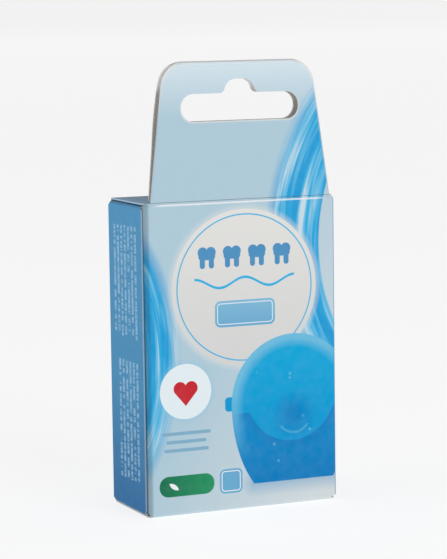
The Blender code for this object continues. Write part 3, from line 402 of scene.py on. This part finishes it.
def dispenser_picture(finish, colour, x, z):
    """A plain picture of the dispenser, cut off by the carton's right edge."""
    across, up = PICTURE_CENTRE
    body = picture_body(x, z)
    shadow = pill(x, z, *SHADOW).rising(*SHADOW_FADE) * SHADOW_SHARE
    colour = finish.mix(shadow, colour, SIDE_HIGH)
    colour = finish.mix(inside(pill(x, z, *NIB)), colour, PICTURE_CASE)
    height = (z - up) * (1 / PICTURE_RADIUS)
    ink = finish.mix(height.rising(*CASE_HEIGHTS), PICTURE_DARK, PICTURE_CASE)
    lid = disc(x, z, *LID_SWEEP).least(LID_FOOT - z)
    lid_shadow = inside(lid - LID_SHADOW_REACH, LID_SHADOW_EDGE) * LID_SHADOW_SHARE
    ink = finish.mix(lid_shadow, ink, PICTURE_DARK)
    lid_ink = finish.mix(height.rising(*LID_HEIGHTS), PICTURE_CASE, PICTURE_LID)
    ink = finish.mix(inside(lid, LID_EDGE), ink, lid_ink)
    lid_line = inside(ring(lid, LID_LINE_HALF), LID_EDGE) * LID_LINE_SHARE
    ink = finish.mix(lid_line, ink, PICTURE_DARK)
    ink = finish.mix(inside(disc(x, z, *DISH), DISH_EDGE) * DISH_SHARE, ink, PICTURE_DARK)
    glint = ring(disc(x, z, *GLINT), GLINT_HALF).most(z - GLINT_TOP)
    ink = finish.mix(inside(glint, GLINT_EDGE) * GLINT_SHARE, ink, PICTURE_RIM)
    to_left, upward, at_centre = RIM_LIGHT
    light = ((across - x) * to_left + (z - up) * upward + at_centre).clamped()
    ink = finish.mix((0 - body).rising(*RIM_DEPTHS) * light, ink, PICTURE_RIM)
    inputs = {"Vector": finish.vector(x, 0.0, z), "Scale": DROP_SCALE}
    drops = finish.node("ShaderNodeTexVoronoi", {}, inputs, "Distance")
    ink = finish.mix(drops.rising(*DROP_SIZES) * DROP_SHARE, ink, PICTURE_RIM)
    ink = finish.mix(drops.rising(*SPARK_SIZES) * SPARK_SHARE, ink, INK_WHITE)
    return finish.mix(inside(body), colour, ink)


# The emblem
EMBLEM = ((1.0, 56.0), 19.6)
EMBLEM_HEIGHTS = (36, 74)  # over which its off-white lightens
EMBLEM_GLOW = (1.6, 0.0)
EMBLEM_GLOW_SHARE = 0.5
EMBLEM_LINE_INSET = 1.3
EMBLEM_LINE_HALF = 0.16
TEETH_PLACES = tuple((across, 64.6) for across in (-9.2, -2.4, 4.4, 11.2))
TOOTH_SIZE = 2.9
THREAD_SHIFT, THREAD_HEIGHT = 2.4, 57.4
THREAD_HALF_WAVE = 6.8
THREAD_SWING = 1.2
THREAD_HALF = 0.32
THREAD_MIDDLE, THREAD_REACH = 1.0, 13.6
LABEL = ((1.0, 49.6), (8.2, 3.3), 1.5)
LABEL_HEIGHTS = (46, 53)
LABEL_LINE_INSET = 0.7
LABEL_LINE_HALF = 0.1


def emblem(finish, colour, x, z):
    """An off-white disc with a row of teeth, a thread that winds under them and a blank label."""
    field = disc(x, z, *EMBLEM)
    plain = finish.mix(z.rising(*EMBLEM_HEIGHTS), OFF_WHITE_LOW, OFF_WHITE)
    colour = finish.mix(field.rising(*EMBLEM_GLOW) * EMBLEM_GLOW_SHARE, colour, OFF_WHITE)
    colour = finish.mix(inside(field), colour, plain)
    line = ring(field + EMBLEM_LINE_INSET, EMBLEM_LINE_HALF)
    colour = finish.mix(inside(line), colour, SATIN)
    teeth = (tooth(x, z, place, TOOTH_SIZE) for place in TEETH_PLACES)
    colour = finish.mix(inside(functools.reduce(Value.least, teeth)), colour, TOOTH_INK)
    wave = ((x + THREAD_SHIFT) * (math.pi / THREAD_HALF_WAVE)).sine() * THREAD_SWING
    thread = ring(z - (wave + THREAD_HEIGHT), THREAD_HALF)
    thread = thread.most(abs(x - THREAD_MIDDLE) - THREAD_REACH)
    colour = finish.mix(inside(thread), colour, SATIN)
    label = pill(x, z, *LABEL)
    label_ink = finish.mix(z.rising(*LABEL_HEIGHTS), LABEL_INK, LABEL_INK_PALE)
    colour = finish.mix(inside(label), colour, label_ink)
    line = ring(label + LABEL_LINE_INSET, LABEL_LINE_HALF)
    return finish.mix(inside(line), colour, INK_WHITE)


# The small motifs at the lower left
BUBBLE = ((-15.4, 31.0), 6.9)
BUBBLE_GLOW = (1.2, -0.2)
BUBBLE_GLOW_SHARE = 0.4
HEART = ((-15.4, 30.8), 3.3)  # centre and size
FRONT_BARS = tuple(
    ((-15.4, height), (half, 0.42), 0.4)
    for height, half in ((20.6, 6.6), (18.5, 5.4), (16.4, 6.0))
)
MINT = ((-15.4, 7.4), (7.4, 2.6), 2.5)
MINT_ENDS = (-22, -7)
LEAF = (((-19.9, 5.9), 2.3), ((-17.9, 8.7), 2.3))  # where two discs overlap
BADGE = ((-3.4, 7.4), (3.1, 3.1), 1.4)
BADGE_LINE_INSET = 0.6
BADGE_LINE_HALF = 0.12


def small_motifs(finish, colour, x, z):
    """A bubble with a heart, three fine bars, a mint label with a leaf and a blue badge."""
    bubble = disc(x, z, *BUBBLE)
    colour = finish.mix(bubble.rising(*BUBBLE_GLOW) * BUBBLE_GLOW_SHARE, colour, SATIN_PALE)
    colour = finish.mix(inside(bubble), colour, BUBBLE_INK)
    colour = finish.mix(inside(heart(x, z, *HEART)), colour, HEART_INK)
    for bar in FRONT_BARS:
        colour = finish.mix(inside(pill(x, z, *bar)), colour, SMALL_PRINT)
    mint_ink = finish.mix(x.rising(*MINT_ENDS), MINT_DARK, MINT_LIGHT)
    colour = finish.mix(inside(pill(x, z, *MINT)), colour, mint_ink)
    leaf = disc(x, z, *LEAF[0]).most(disc(x, z, *LEAF[1]))
    colour = finish.mix(inside(leaf), colour, INK_WHITE)
    badge = pill(x, z, *BADGE)
    colour = finish.mix(inside(badge), colour, LABEL_INK)
    line = ring(badge + BADGE_LINE_INSET, BADGE_LINE_HALF)
    return finish.mix(inside(line), colour, INK_WHITE)


def front_artwork(finish, x, z):
    """The print on the front and on the front of the tab, as one picture."""
    # Painted light: the ground lightens up the tab
    colour = finish.mix(z.rising(*GROUND_LIGHT_HEIGHTS), GROUND, GROUND_LIT_TOP)
    by_z, by_x, at_middle = GROUND_FADE
    colour = finish.mix((z * by_z + x * by_x + at_middle).clamped(), colour, GROUND_PALE)
    for band in SATIN_BANDS:
        colour = satin(finish, colour, x, z, *band)
    colour = emblem(finish, colour, x, z)
    colour = dispenser_picture(finish, colour, x, z)
    return small_motifs(finish, colour, x, z)


# Fine bars. Blocks are left, right, low and high, and a bar's half width is a share of the pitch.
BAR_PITCH = 2.3
BAR_HALF = 0.27
BAR_EDGE = 0.1
BAR_BREAKS = (3.7, 0.9)  # steps in the noise: from bar to bar, and to a millimetre along
BREAK_LEVELS = (0.42, 0.45)
INK_STEPS = (5.1, 1.7, 0.9)  # the same, and to a millimetre across
INK_LEVELS = (0.35, 0.6)
INK_STRENGTH = (0.4, 0.2)  # what varies, and what is always there
SIDE_BLOCKS = ((-8.0, 8.1, 44.0, 72.0), (-8.0, 5.8, 8.0, 38.0))
BACK_BLOCK = (34.0, 66.5, -19.0, 19.0)  # turned on its side, so in z and then in x


def fine_bars(finish, colour, across, along, sides):
    """A block of fine bars of unlike lengths and uneven ink, side by side."""
    left, _, low, _ = sides
    row = (across - left) * (1 / BAR_PITCH)
    number = row.maths("FLOOR")
    beside = ring(row - number - 0.5, BAR_HALF)
    by_bar, by_length = BAR_BREAKS
    lengths = finish.texture(finish.vector(number * by_bar, along * by_length, low))
    within = inside(block(across, along, *sides))
    by_bar, by_length, by_width = INK_STEPS
    place = finish.vector(number * by_bar, along * by_length, across * by_width)
    uneven = finish.texture(place).rising(*INK_LEVELS) * INK_STRENGTH[0] + INK_STRENGTH[1]
    ink = inside(beside, BAR_EDGE) * lengths.rising(*BREAK_LEVELS) * within
    return finish.mix(ink * uneven, colour, BAR_PALE)


SIDE_SHADE_HEIGHTS = (0, 34, 78)  # of its three blues: painted shade at the foot, painted light at the top
BACK_HEIGHTS = (10, 78)
BACK_WAVE = (0.09, 2.0, 20.0)  # radians to a millimetre, swing and height
BACK_WAVE_EDGE = 0.2
BACK_BLANK = ((0, 10.5), (15.0, 5.5), 1.0)


def side_artwork(finish, y, z):
    """The print on a side wall: deep blue with two blocks of fine bars, painted darker toward the
    foot and lighter toward the top as painted shade and light.
    """
    low, middle, high = SIDE_SHADE_HEIGHTS
    colour = finish.mix(z.rising(low, middle), SIDE_SHADED_LOW, SIDE_MIDDLE)
    colour = finish.mix(z.rising(middle, high), colour, SIDE_HIGH)
    for sides in SIDE_BLOCKS:
        colour = fine_bars(finish, colour, y, z, sides)
    return colour


def back_artwork(finish, x, z):
    """The print on the back: a pale ground over a blue foot with a blank panel, and fine bars."""
    colour = finish.mix(z.rising(*BACK_HEIGHTS), GROUND_PALE, GROUND)
    per_mm, swing, height = BACK_WAVE
    foot = inside(z - ((x * per_mm).sine() * swing + height), BACK_WAVE_EDGE)
    colour = finish.mix(foot, colour, SIDE_MIDDLE)
    colour = fine_bars(finish, colour, z, x, BACK_BLOCK)
    return finish.mix(inside(pill(x, z, *BACK_BLANK)), colour, INK_WHITE)


# Board. Grains and reliefs are in millimetres, and levels are of the noise.

BOARD_SPECULAR = 0.05
FLECK_GRAIN, FLECK_STRETCH = 0.35, (1, 1, 1.6)
FLECK_LEVELS = (0.35, 0.7)
FLECK_RELIEF = 0.002
MOTTLE_GRAIN = 2.5
MOTTLE_LEVELS = (0.3, 0.75)
MOTTLE_SHARE = 0.025
BOARD_DETAIL = 3
WARP_GRAIN, WARP_DETAIL, WARP_RELIEF = 24, 1, 0.24
COATING_GRAIN, COATING_DETAIL, COATING_RELIEF = 0.3, 2, 0.0015
BARE_ROUGHNESS = 0.82
PRINT_SMOOTHNESS = 0.46  # how much less rough the print is
ROUGHNESS_SPREAD = 0.12


def board_finish(name, printed, print_colour, relief=None, pale=None):
    """Coated board: print where the mask says, bare grey board elsewhere, and white where pale,
    which is painted light on the bare board.
    """
    finish = Finish(name, Specular_IOR_Level=BOARD_SPECULAR)
    flecks = finish.noise(FLECK_GRAIN, BOARD_DETAIL, FLECK_STRETCH)
    bare = finish.mix(flecks.rising(*FLECK_LEVELS), BARE_SHADE, BARE_BOARD)
    # Painted light: the bare board is lightened to white where pale says
    if pale is not None:
        bare = finish.mix(pale(finish), bare, WEAR_AND_LIGHT_WHITE)
    mask = printed(finish)
    ink = print_colour(finish)
    mottle = finish.noise(MOTTLE_GRAIN, BOARD_DETAIL)
    ink = finish.mix(mottle.rising(*MOTTLE_LEVELS) * MOTTLE_SHARE, ink, INK_WHITE)
    height = finish.noise(WARP_GRAIN, WARP_DETAIL) * WARP_RELIEF
    height = height + finish.noise(COATING_GRAIN, COATING_DETAIL) * COATING_RELIEF
    height = height + flecks * FLECK_RELIEF * (1 - mask)
    if relief is not None:
        # relief gives a ridge, and a pale line of worn coating that is also a painted highlight
        ridge, worn_highlight = relief(finish)
        height = height + ridge
        ink = finish.mix(worn_highlight, ink, WEAR_AND_LIGHT_WHITE)
    finish.set("Base Color", finish.mix(mask, bare, ink))
    rough = BARE_ROUGHNESS - mask * PRINT_SMOOTHNESS + (mottle - 0.5) * ROUGHNESS_SPREAD
    finish.set("Roughness", rough)
    finish.bump(height)
    return finish.material


FRONT_HALF = (0, -1)  # y, from the back half of the carton to its front half
FRONT_TO_BACK = (-10, 11)

# Cosines between which a face comes to count as looking some way
THAT_WAY = (0.3, 0.5)
OUTWARD = (0.55, 0.65)
AT_SIDE = (0.6, 0.8)
SQUARELY = (0.8, 0.9)

# The sleeve, its depths measured in from a side
END_BORDER = 0.02  # between a side wall's folds and the front's and the back's
SEAM_EDGE = (0.43, 0.41)  # the left wall's cut edge at the front seam
SEAM_EDGE_PRINT = 0.6  # how much of that edge the coating covers
SIDE_BORDER = (0.55, 0.45)
BEND = (1.95, 1.3)  # the bend at the front's left, which is in shade
BEND_SHARE = 0.4
DARKEST, DARKEST_HEIGHTS = (0.75, 0.6), (75, 45)  # its darkest line, from high to low
DARKEST_SHARE = 0.3


def sleeve_outside(finish):
    """How squarely the board faces out: its print is outside, its bare side and cut edges are not.

    Outward is away from the box that lies between the centres of the board's bends.
    """
    ends = abs(finish.y).rising(HALF_DEPTH - CORNER, HALF_DEPTH - CORNER + END_BORDER)
    foot = SIDE_FOOT + ends * (FRONT_FOOT - SIDE_FOOT)
    top = SIDE_TOP + ends * (CARTON_HEIGHT - SIDE_TOP)
    out_x = finish.x - finish.x.least(HALF_WIDTH - CORNER).most(CORNER - HALF_WIDTH)
    out_y = finish.y - finish.y.least(HALF_DEPTH - CORNER).most(CORNER - HALF_DEPTH)
    out_z = finish.z - finish.z.least(top).most(foot)
    away = (out_x * out_x + out_y * out_y + out_z * out_z).root()
    face_x, face_y, face_z = finish.facing()
    outside = (out_x * face_x + out_y * face_y + out_z * face_z) / away
    at_seam = finish.x.rising(*(inward - HALF_WIDTH for inward in SEAM_EDGE))
    seam_edge = at_seam * (face_y * -1).rising(*SQUARELY)
    return outside.rising(*OUTWARD).most(seam_edge * SEAM_EDGE_PRINT)


def sleeve_print(finish):
    side = abs(finish.x).rising(*(HALF_WIDTH - inward for inward in SIDE_BORDER))
    front = finish.y.rising(*FRONT_HALF)
    back = back_artwork(finish, finish.x, finish.z)
    face = front_artwork(finish, finish.x, finish.z)
    inward = finish.x + HALF_WIDTH
    darkest = inward.rising(*DARKEST) * finish.z.rising(*DARKEST_HEIGHTS)
    shade = inward.rising(*BEND) * BEND_SHARE + darkest * DARKEST_SHARE
    face = finish.mix(shade, face, BEND_SHADE)
    colour = finish.mix(front, back, face)
    return finish.mix(side, colour, side_artwork(finish, finish.y, finish.z))


# The crease at the foot of the tab, its depths measured down from the carton's top
CREASE_WANDER_GRAIN, CREASE_WANDER = 9, 0.3
RIDGE_DOWN, RIDGE_HALF, RIDGE_RELIEF = 0.62, 0.5, 0.16
# A pale line on the ridge: worn coating, and also a painted highlight along the crease
WEAR_AND_HIGHLIGHT_DOWN, WEAR_AND_HIGHLIGHT_HALF, WEAR_AND_HIGHLIGHT_PEAK, WEAR_AND_HIGHLIGHT_SHARE = 0.5, 0.26, 1.25, 0.85
WEAR_AND_HIGHLIGHT_ENDS = 2.2  # the worn line and its painted highlight stop this far from the sides
WEAR_AND_HIGHLIGHT_FADE = (0, 3)


def crease_relief(finish):
    """The ridge that the creasing rule leaves along the top of the front, its coating worn pale and
    painted as a highlight.
    """
    front = finish.y.rising(*FRONT_HALF)
    wander = finish.noise(CREASE_WANDER_GRAIN) * CREASE_WANDER
    down = CARTON_HEIGHT - finish.z - wander
    ridge = (1 - abs(down - RIDGE_DOWN) * (1 / RIDGE_HALF)).clamped() * front
    ends = (HALF_WIDTH - WEAR_AND_HIGHLIGHT_ENDS - abs(finish.x)).rising(*WEAR_AND_HIGHLIGHT_FADE)
    worn_highlight = (WEAR_AND_HIGHLIGHT_PEAK - abs(down - WEAR_AND_HIGHLIGHT_DOWN) * (1 / WEAR_AND_HIGHLIGHT_HALF)).clamped()
    return ridge * RIDGE_RELIEF, worn_highlight * WEAR_AND_HIGHLIGHT_SHARE * front * ends


# The tab. Depths behind its parting are negative on its front ply, and distances to its outline or
# its slot are negative inside them.
FOLD_HEIGHT = 1.3
FOLD_START = (0, 0.1)
WRAP_DEPTHS = (-0.3, -0.36)  # the coating wraps round the cut edge as far as this
WRAP_RIM = (-0.7, -0.4)
WRAP_FACING = 0.6
TAB_PRINT_FACING = (0.25, 0.35)
SLOT_WEAR = (0.55, 0.15)
SLOT_WEAR_HEIGHTS = (-4.5, 3.0)  # down from the slot's centre
SLOT_WEAR_SHARE = 0.7
RIM_WEAR = (-0.45, -0.1)
RIM_WEAR_SHARE = 0.8
RIM_SHADE_HEIGHTS = (97, 108)  # over which the worn rim's painted shade gives way to off-white
TOP_HIGHLIGHT_HEIGHTS = (111.2, 111.8)
TOP_HIGHLIGHT_SHARE = 0.9
TAB_LIGHT_HEIGHTS = (104.5, 106.5)


def tab_outline(finish):
    """Distance to the tab's outline, seen from the front."""
    middle = (TAB_LOW.x + TAB_HIGH.x) / 2
    half = (TAB_HIGH.x - TAB_LOW.x) / 2
    height = TAB_HIGH.z - TAB_LOW.z
    drawn_in = (finish.z - TAB_LOW.z) * (TAB_TAPER / height)
    return pill(finish.x, finish.z, (middle, TAB_LOW.z), (half - drawn_in, height), TAB_CORNER)


def behind_parting(finish):
    """How far a point of the tab lies behind the middle of the gap between its plies."""
    return finish.y - ((finish.z - CARTON_HEIGHT) * TAB_LEAN + (TAB_PARTING - HALF_DEPTH))


def tab_outside(finish):
    """The tab's front, its fold and the back of its back ply are print; the rest is bare.

    The coating wraps a little way round the front ply's cut edge, so that counts as worn print.
    """
    _, face_y, face_z = finish.facing()
    behind = behind_parting(finish)
    fold = (finish.z - (TAB_HIGH.z - FOLD_HEIGHT)).rising(*FOLD_START) * face_z
    near_front = behind.rising(*WRAP_DEPTHS)
    rim = near_front * tab_outline(finish).rising(*WRAP_RIM) * (WRAP_FACING - face_y)
    outward = face_y * (behind.rising(*STEP) * 2 - 1)
    return outward.most(fold).most(rim).rising(*TAB_PRINT_FACING)


def tab_rims(finish):
    """How worn the tab's print is along its outline, and how worn it is beside its slot."""
    slot = pill(finish.x, finish.z, SLOT_CENTRE, SLOT_HALVES, SLOT_CORNER)
    slot = slot.least(disc(finish.x, finish.z, *SLOT_BUMP))
    down = SLOT_CENTRE[1] - finish.z
    beside_slot = slot.rising(*SLOT_WEAR) * down.rising(*SLOT_WEAR_HEIGHTS)
    outer = tab_outline(finish).rising(*RIM_WEAR)
    return outer * RIM_WEAR_SHARE, beside_slot * SLOT_WEAR_SHARE


def tab_print(finish):
    # Painted light: the tab's back lightens toward its top
    back = finish.mix(finish.z.rising(*GROUND_LIGHT_HEIGHTS), GROUND, GROUND_LIT_TOP)
    behind = behind_parting(finish).rising(*STEP)
    colour = finish.mix(behind, front_artwork(finish, finish.x, finish.z), back)
    # Painted highlight: the top fold is painted near-white, as if lit from above
    colour = finish.mix(finish.z.rising(*TOP_HIGHLIGHT_HEIGHTS) * TOP_HIGHLIGHT_SHARE, colour, TOP_FOLD_HIGHLIGHT)
    outer, beside_slot = tab_rims(finish)
    # Painted shade: the worn rim is darker grey-blue low down and lightens upward
    rim_ink = finish.mix(finish.z.rising(*RIM_SHADE_HEIGHTS), TAB_RIM_SHADE, OFF_WHITE)
    colour = finish.mix(outer, colour, rim_ink)
    return finish.mix(beside_slot, colour, OFF_WHITE)


def tab_painted_light(finish):
    """Painted light: the tab's bare board is painted white near its top, where its corners cut
    through the fold and the gap between its plies lies in shade.
    """
    return finish.z.rising(*TAB_LIGHT_HEIGHTS)


# Flaps: the closure with its tuck flap, the dust flaps and the base
CLOSURE_EDGE = (-0.37, -0.31)  # up from the carton's top: from the painted gap shade to the edge's rim
DUST_BORDER = (21.8, 22.0)  # from the middle: the side's blue starts here
TUCK_HEIGHTS = (60, 78)


def backward(finish):
    return finish.facing()[1].rising(*THAT_WAY)


def closure_outside(finish):
    """The closure's print runs on down its cut edges at the sides, as the photograph shows."""
    face_x, face_y, face_z = finish.facing()
    return face_y.most(face_z).most(abs(face_x)).rising(*THAT_WAY)


def closure_print(finish):
    top = finish.mix(finish.y.rising(*FRONT_TO_BACK), CLOSURE_NEAR, CLOSURE_FAR)
    # Painted shade: the lower part of the closure's cut edge is painted dark, as the gap under it
    edge = finish.mix((finish.z - CARTON_HEIGHT).rising(*CLOSURE_EDGE), CLOSURE_GAP_SHADE, CLOSURE_RIM)
    at_side = abs(finish.facing()[0]).rising(*AT_SIDE)
    return finish.mix(at_side, top, edge)


def tuck_print(finish):
    return finish.mix(finish.z.rising(*TUCK_HEIGHTS), GROUND_PALE, GROUND)


def dust_outside(finish):
    face_x, _, face_z = finish.facing()
    return face_z.most(abs(face_x)).rising(*THAT_WAY)


def dust_print(finish):
    """The side's blue runs on a little way over the dust flap, then the coating is blank."""
    return finish.mix(abs(finish.x).rising(*DUST_BORDER), OFF_WHITE, SIDE_HIGH)


def base_outside(finish):
    _, face_y, face_z = finish.facing()
    return face_y.most(face_z * -1).rising(*THAT_WAY)


def base_print(finish):
    return finish.mix(finish.y.rising(*FRONT_TO_BACK), GROUND_PALE, GROUND)


def no_print(finish):
    return finish.z * 0


def dress(material, *pieces):
    """Give pieces of the frame their finish."""
    for piece in pieces:
        mesh = NODES[piece].data
        mesh.materials.clear()
        mesh.materials.append(material)


dress(board_finish("sleeve_board", sleeve_outside, sleeve_print, crease_relief), "carton_sleeve")
dress(board_finish("tab_board", tab_outside, tab_print, pale=tab_painted_light), "hang_tab")
dress(board_finish("closure_board", closure_outside, closure_print), "top_closure")
dress(board_finish("tuck_board", backward, tuck_print), "tuck_flap")
dress(board_finish("base_board", base_outside, base_print), "base_panel")
dress(board_finish("base_tuck_board", backward, base_print), "base_tuck_flap")
dress(board_finish("bare_board", no_print, base_print), "base_left_flap", "base_right_flap")
dress(board_finish("dust_board", dust_outside, dust_print), "left_dust_flap", "right_dust_flap")


# Dispenser. Grains and reliefs are in millimetres.

MOULDING = {"IOR": 1.49, "Coat_Roughness": 0.12, "Subsurface_Weight": 0.04}
FLOW_GRAIN, FLOW_STRETCH = 7, (1, 1, 2.2)
FLOW_LEVELS = (0.3, 0.7)
FLOW_RELIEF = 0.04
MOULD_GRAIN = 0.18
MOULD_GRAIN_RELIEF = 0.0024
MOULD_ROUGHNESS_SPREAD = 0.10
STROKE_GRAIN, STROKE_DETAIL, STROKE_STRETCH = 0.10, 3, (1, 14, 1)
STROKE_RELIEF = 0.004
STEEL_ROUGHNESS, STEEL_ROUGHNESS_SPREAD = 0.16, 0.18
TWIST_PER_MM = 14  # radians
TWIST_LEAN = (1.3, 2)  # how much z and y count beside x
TWIST_RELIEF = 0.03
WAXED = {"Roughness": 0.42, "Sheen_Weight": 0.3, "Subsurface_Weight": 0.1}


def plastic(name, colours, roughness, coat):
    """Moulded plastic: faint flow lines and a fine grain."""
    finish = Finish(name, Coat_Weight=coat, **MOULDING)
    flow = finish.noise(FLOW_GRAIN, stretch=FLOW_STRETCH)
    colour, shade = colours
    finish.set("Base Color", finish.mix(flow.rising(*FLOW_LEVELS), shade, colour))
    grain = finish.noise(MOULD_GRAIN)
    finish.set("Roughness", roughness + (grain - 0.5) * MOULD_ROUGHNESS_SPREAD)
    finish.bump(flow * FLOW_RELIEF + grain * MOULD_GRAIN_RELIEF)
    return finish.material


def steel():
    """Ground steel: fine strokes along y."""
    finish = Finish("cutter_steel", Metallic=1.0)
    strokes = finish.noise(STROKE_GRAIN, STROKE_DETAIL, STROKE_STRETCH)
    colour, shade = STEEL
    finish.set("Base Color", finish.mix(strokes, shade, colour))
    finish.set("Roughness", strokes * STEEL_ROUGHNESS_SPREAD + STEEL_ROUGHNESS)
    finish.bump(strokes * STROKE_RELIEF)
    return finish.material


def floss():
    """Waxed floss: twisted threads."""
    finish = Finish("waxed_floss", **WAXED)
    by_z, by_y = TWIST_LEAN
    turned = (finish.x + finish.z * by_z + finish.y * by_y) * TWIST_PER_MM
    twist = turned.sine() * 0.5 + 0.5
    colour, shade = FLOSS
    finish.set("Base Color", finish.mix(twist, shade, colour))
    finish.bump(twist * TWIST_RELIEF)
    return finish.material


dress(plastic("white_moulding", WHITE_PLASTIC, roughness=0.32, coat=0.15), "guide_insert")
case_plastic = plastic("case_moulding", CASE_PLASTIC, roughness=0.28, coat=0.3)
dress(case_plastic, "case_front", "case_rear")
dress(plastic("lid_moulding", LID_PLASTIC, roughness=0.22, coat=0.5), "flip_lid")
dress(plastic("spool_moulding", SPOOL_PLASTIC, roughness=0.45, coat=0.0), "floss_spool")
dress(steel(), "cutter_blade")
dress(floss(), "floss_strand", "floss_winding")


# Floor, light and camera. Lengths are in metres where nothing else is said.

FLOOR_REACH = 12
FLOOR_SQUARES = 8  # along each side
FLOOR_EDGE = 0.99 * FLOOR_REACH
FLOOR_RIM = 4  # how high its edge is turned up
FLOOR_DROP = 0.00005  # below what stands on it
FLOOR_ROUGHNESS = 0.9
FLOOR_GLOW = 0.78
SKY_STRENGTH = 0.25
AIM = (0, 0, 55 * MM)
SOFTBOXES = {  # place, width and power in watts
    "front_softbox": ((0.25, -0.95, 0.45), 0.7, 3.8),
    "left_softbox": ((-0.95, 0.05, 0.35), 0.6, 1.5),
}

# The camera, from a fit to the carton's outlines
PICTURE_HEIGHT = 559  # pixels
FOCAL_PIXELS = 2396.1
SENSOR = 36  # mm, along the picture's height
CAMERA_PLACE = Vector((-242.45, -551.26, 128.56)) * MM
CAMERA_AZIMUTH = math.radians(-23.78)
CAMERA_ELEVATION = math.radians(6.80)
CAMERA_ROLL = math.radians(-0.79)


def pale_floor():
    """A floor whose edge turns up, so that no horizon shows."""
    grid = bmesh.new()
    bmesh.ops.create_grid(
        grid, x_segments=FLOOR_SQUARES, y_segments=FLOOR_SQUARES, size=FLOOR_REACH
    )
    for corner in grid.verts:
        if max(abs(corner.co.x), abs(corner.co.y)) > FLOOR_EDGE:
            corner.co.z = FLOOR_RIM
    mesh = bpy.data.meshes.new("floor")
    grid.to_mesh(mesh)
    grid.free()
    mesh.shade_smooth()
    floor = bpy.data.objects.new("floor", mesh)
    floor.location.z = -FLOOR_DROP
    bpy.context.scene.collection.objects.link(floor)
    finish = Finish("pale_floor", Base_Color=FLOOR_GREY, Roughness=FLOOR_ROUGHNESS)
    finish.set("Emission Color", STUDIO_WHITE)
    finish.set("Emission Strength", FLOOR_GLOW)
    mesh.materials.append(finish.material)


def sky():
    world = bpy.data.worlds.new("soft_white")
    world.use_nodes = True
    background = world.node_tree.nodes["Background"]
    background.inputs["Color"].default_value = STUDIO_WHITE
    background.inputs["Strength"].default_value = SKY_STRENGTH
    bpy.context.scene.world = world
    bpy.context.scene.view_settings.view_transform = "Standard"


def area_light(name, place, width, power):
    light = bpy.data.lights.new(name, "AREA")
    light.shape = "SQUARE"
    light.size = width
    light.energy = power
    lamp = bpy.data.objects.new(name, light)
    lamp.location = place
    lamp.rotation_euler = (Vector(place) - Vector(AIM)).to_track_quat("Z", "Y").to_euler()
    bpy.context.scene.collection.objects.link(lamp)


def camera():
    lens = bpy.data.cameras.new("camera")
    lens.sensor_width = SENSOR
    lens.lens = FOCAL_PIXELS * SENSOR / PICTURE_HEIGHT
    seen = bpy.data.objects.new("camera", lens)
    turn = Matrix.Rotation(CAMERA_AZIMUTH, 3, "Z")
    turn @= Matrix.Rotation(math.radians(90) - CAMERA_ELEVATION, 3, "X")
    turn @= Matrix.Rotation(CAMERA_ROLL, 3, "Z")
    seen.matrix_world = Matrix.Translation(CAMERA_PLACE) @ turn.to_4x4()
    bpy.context.scene.collection.objects.link(seen)
    bpy.context.scene.camera = seen


pale_floor()
sky()
camera()
for softbox, (place, width, power) in SOFTBOXES.items():
    area_light(softbox, place, width, power)
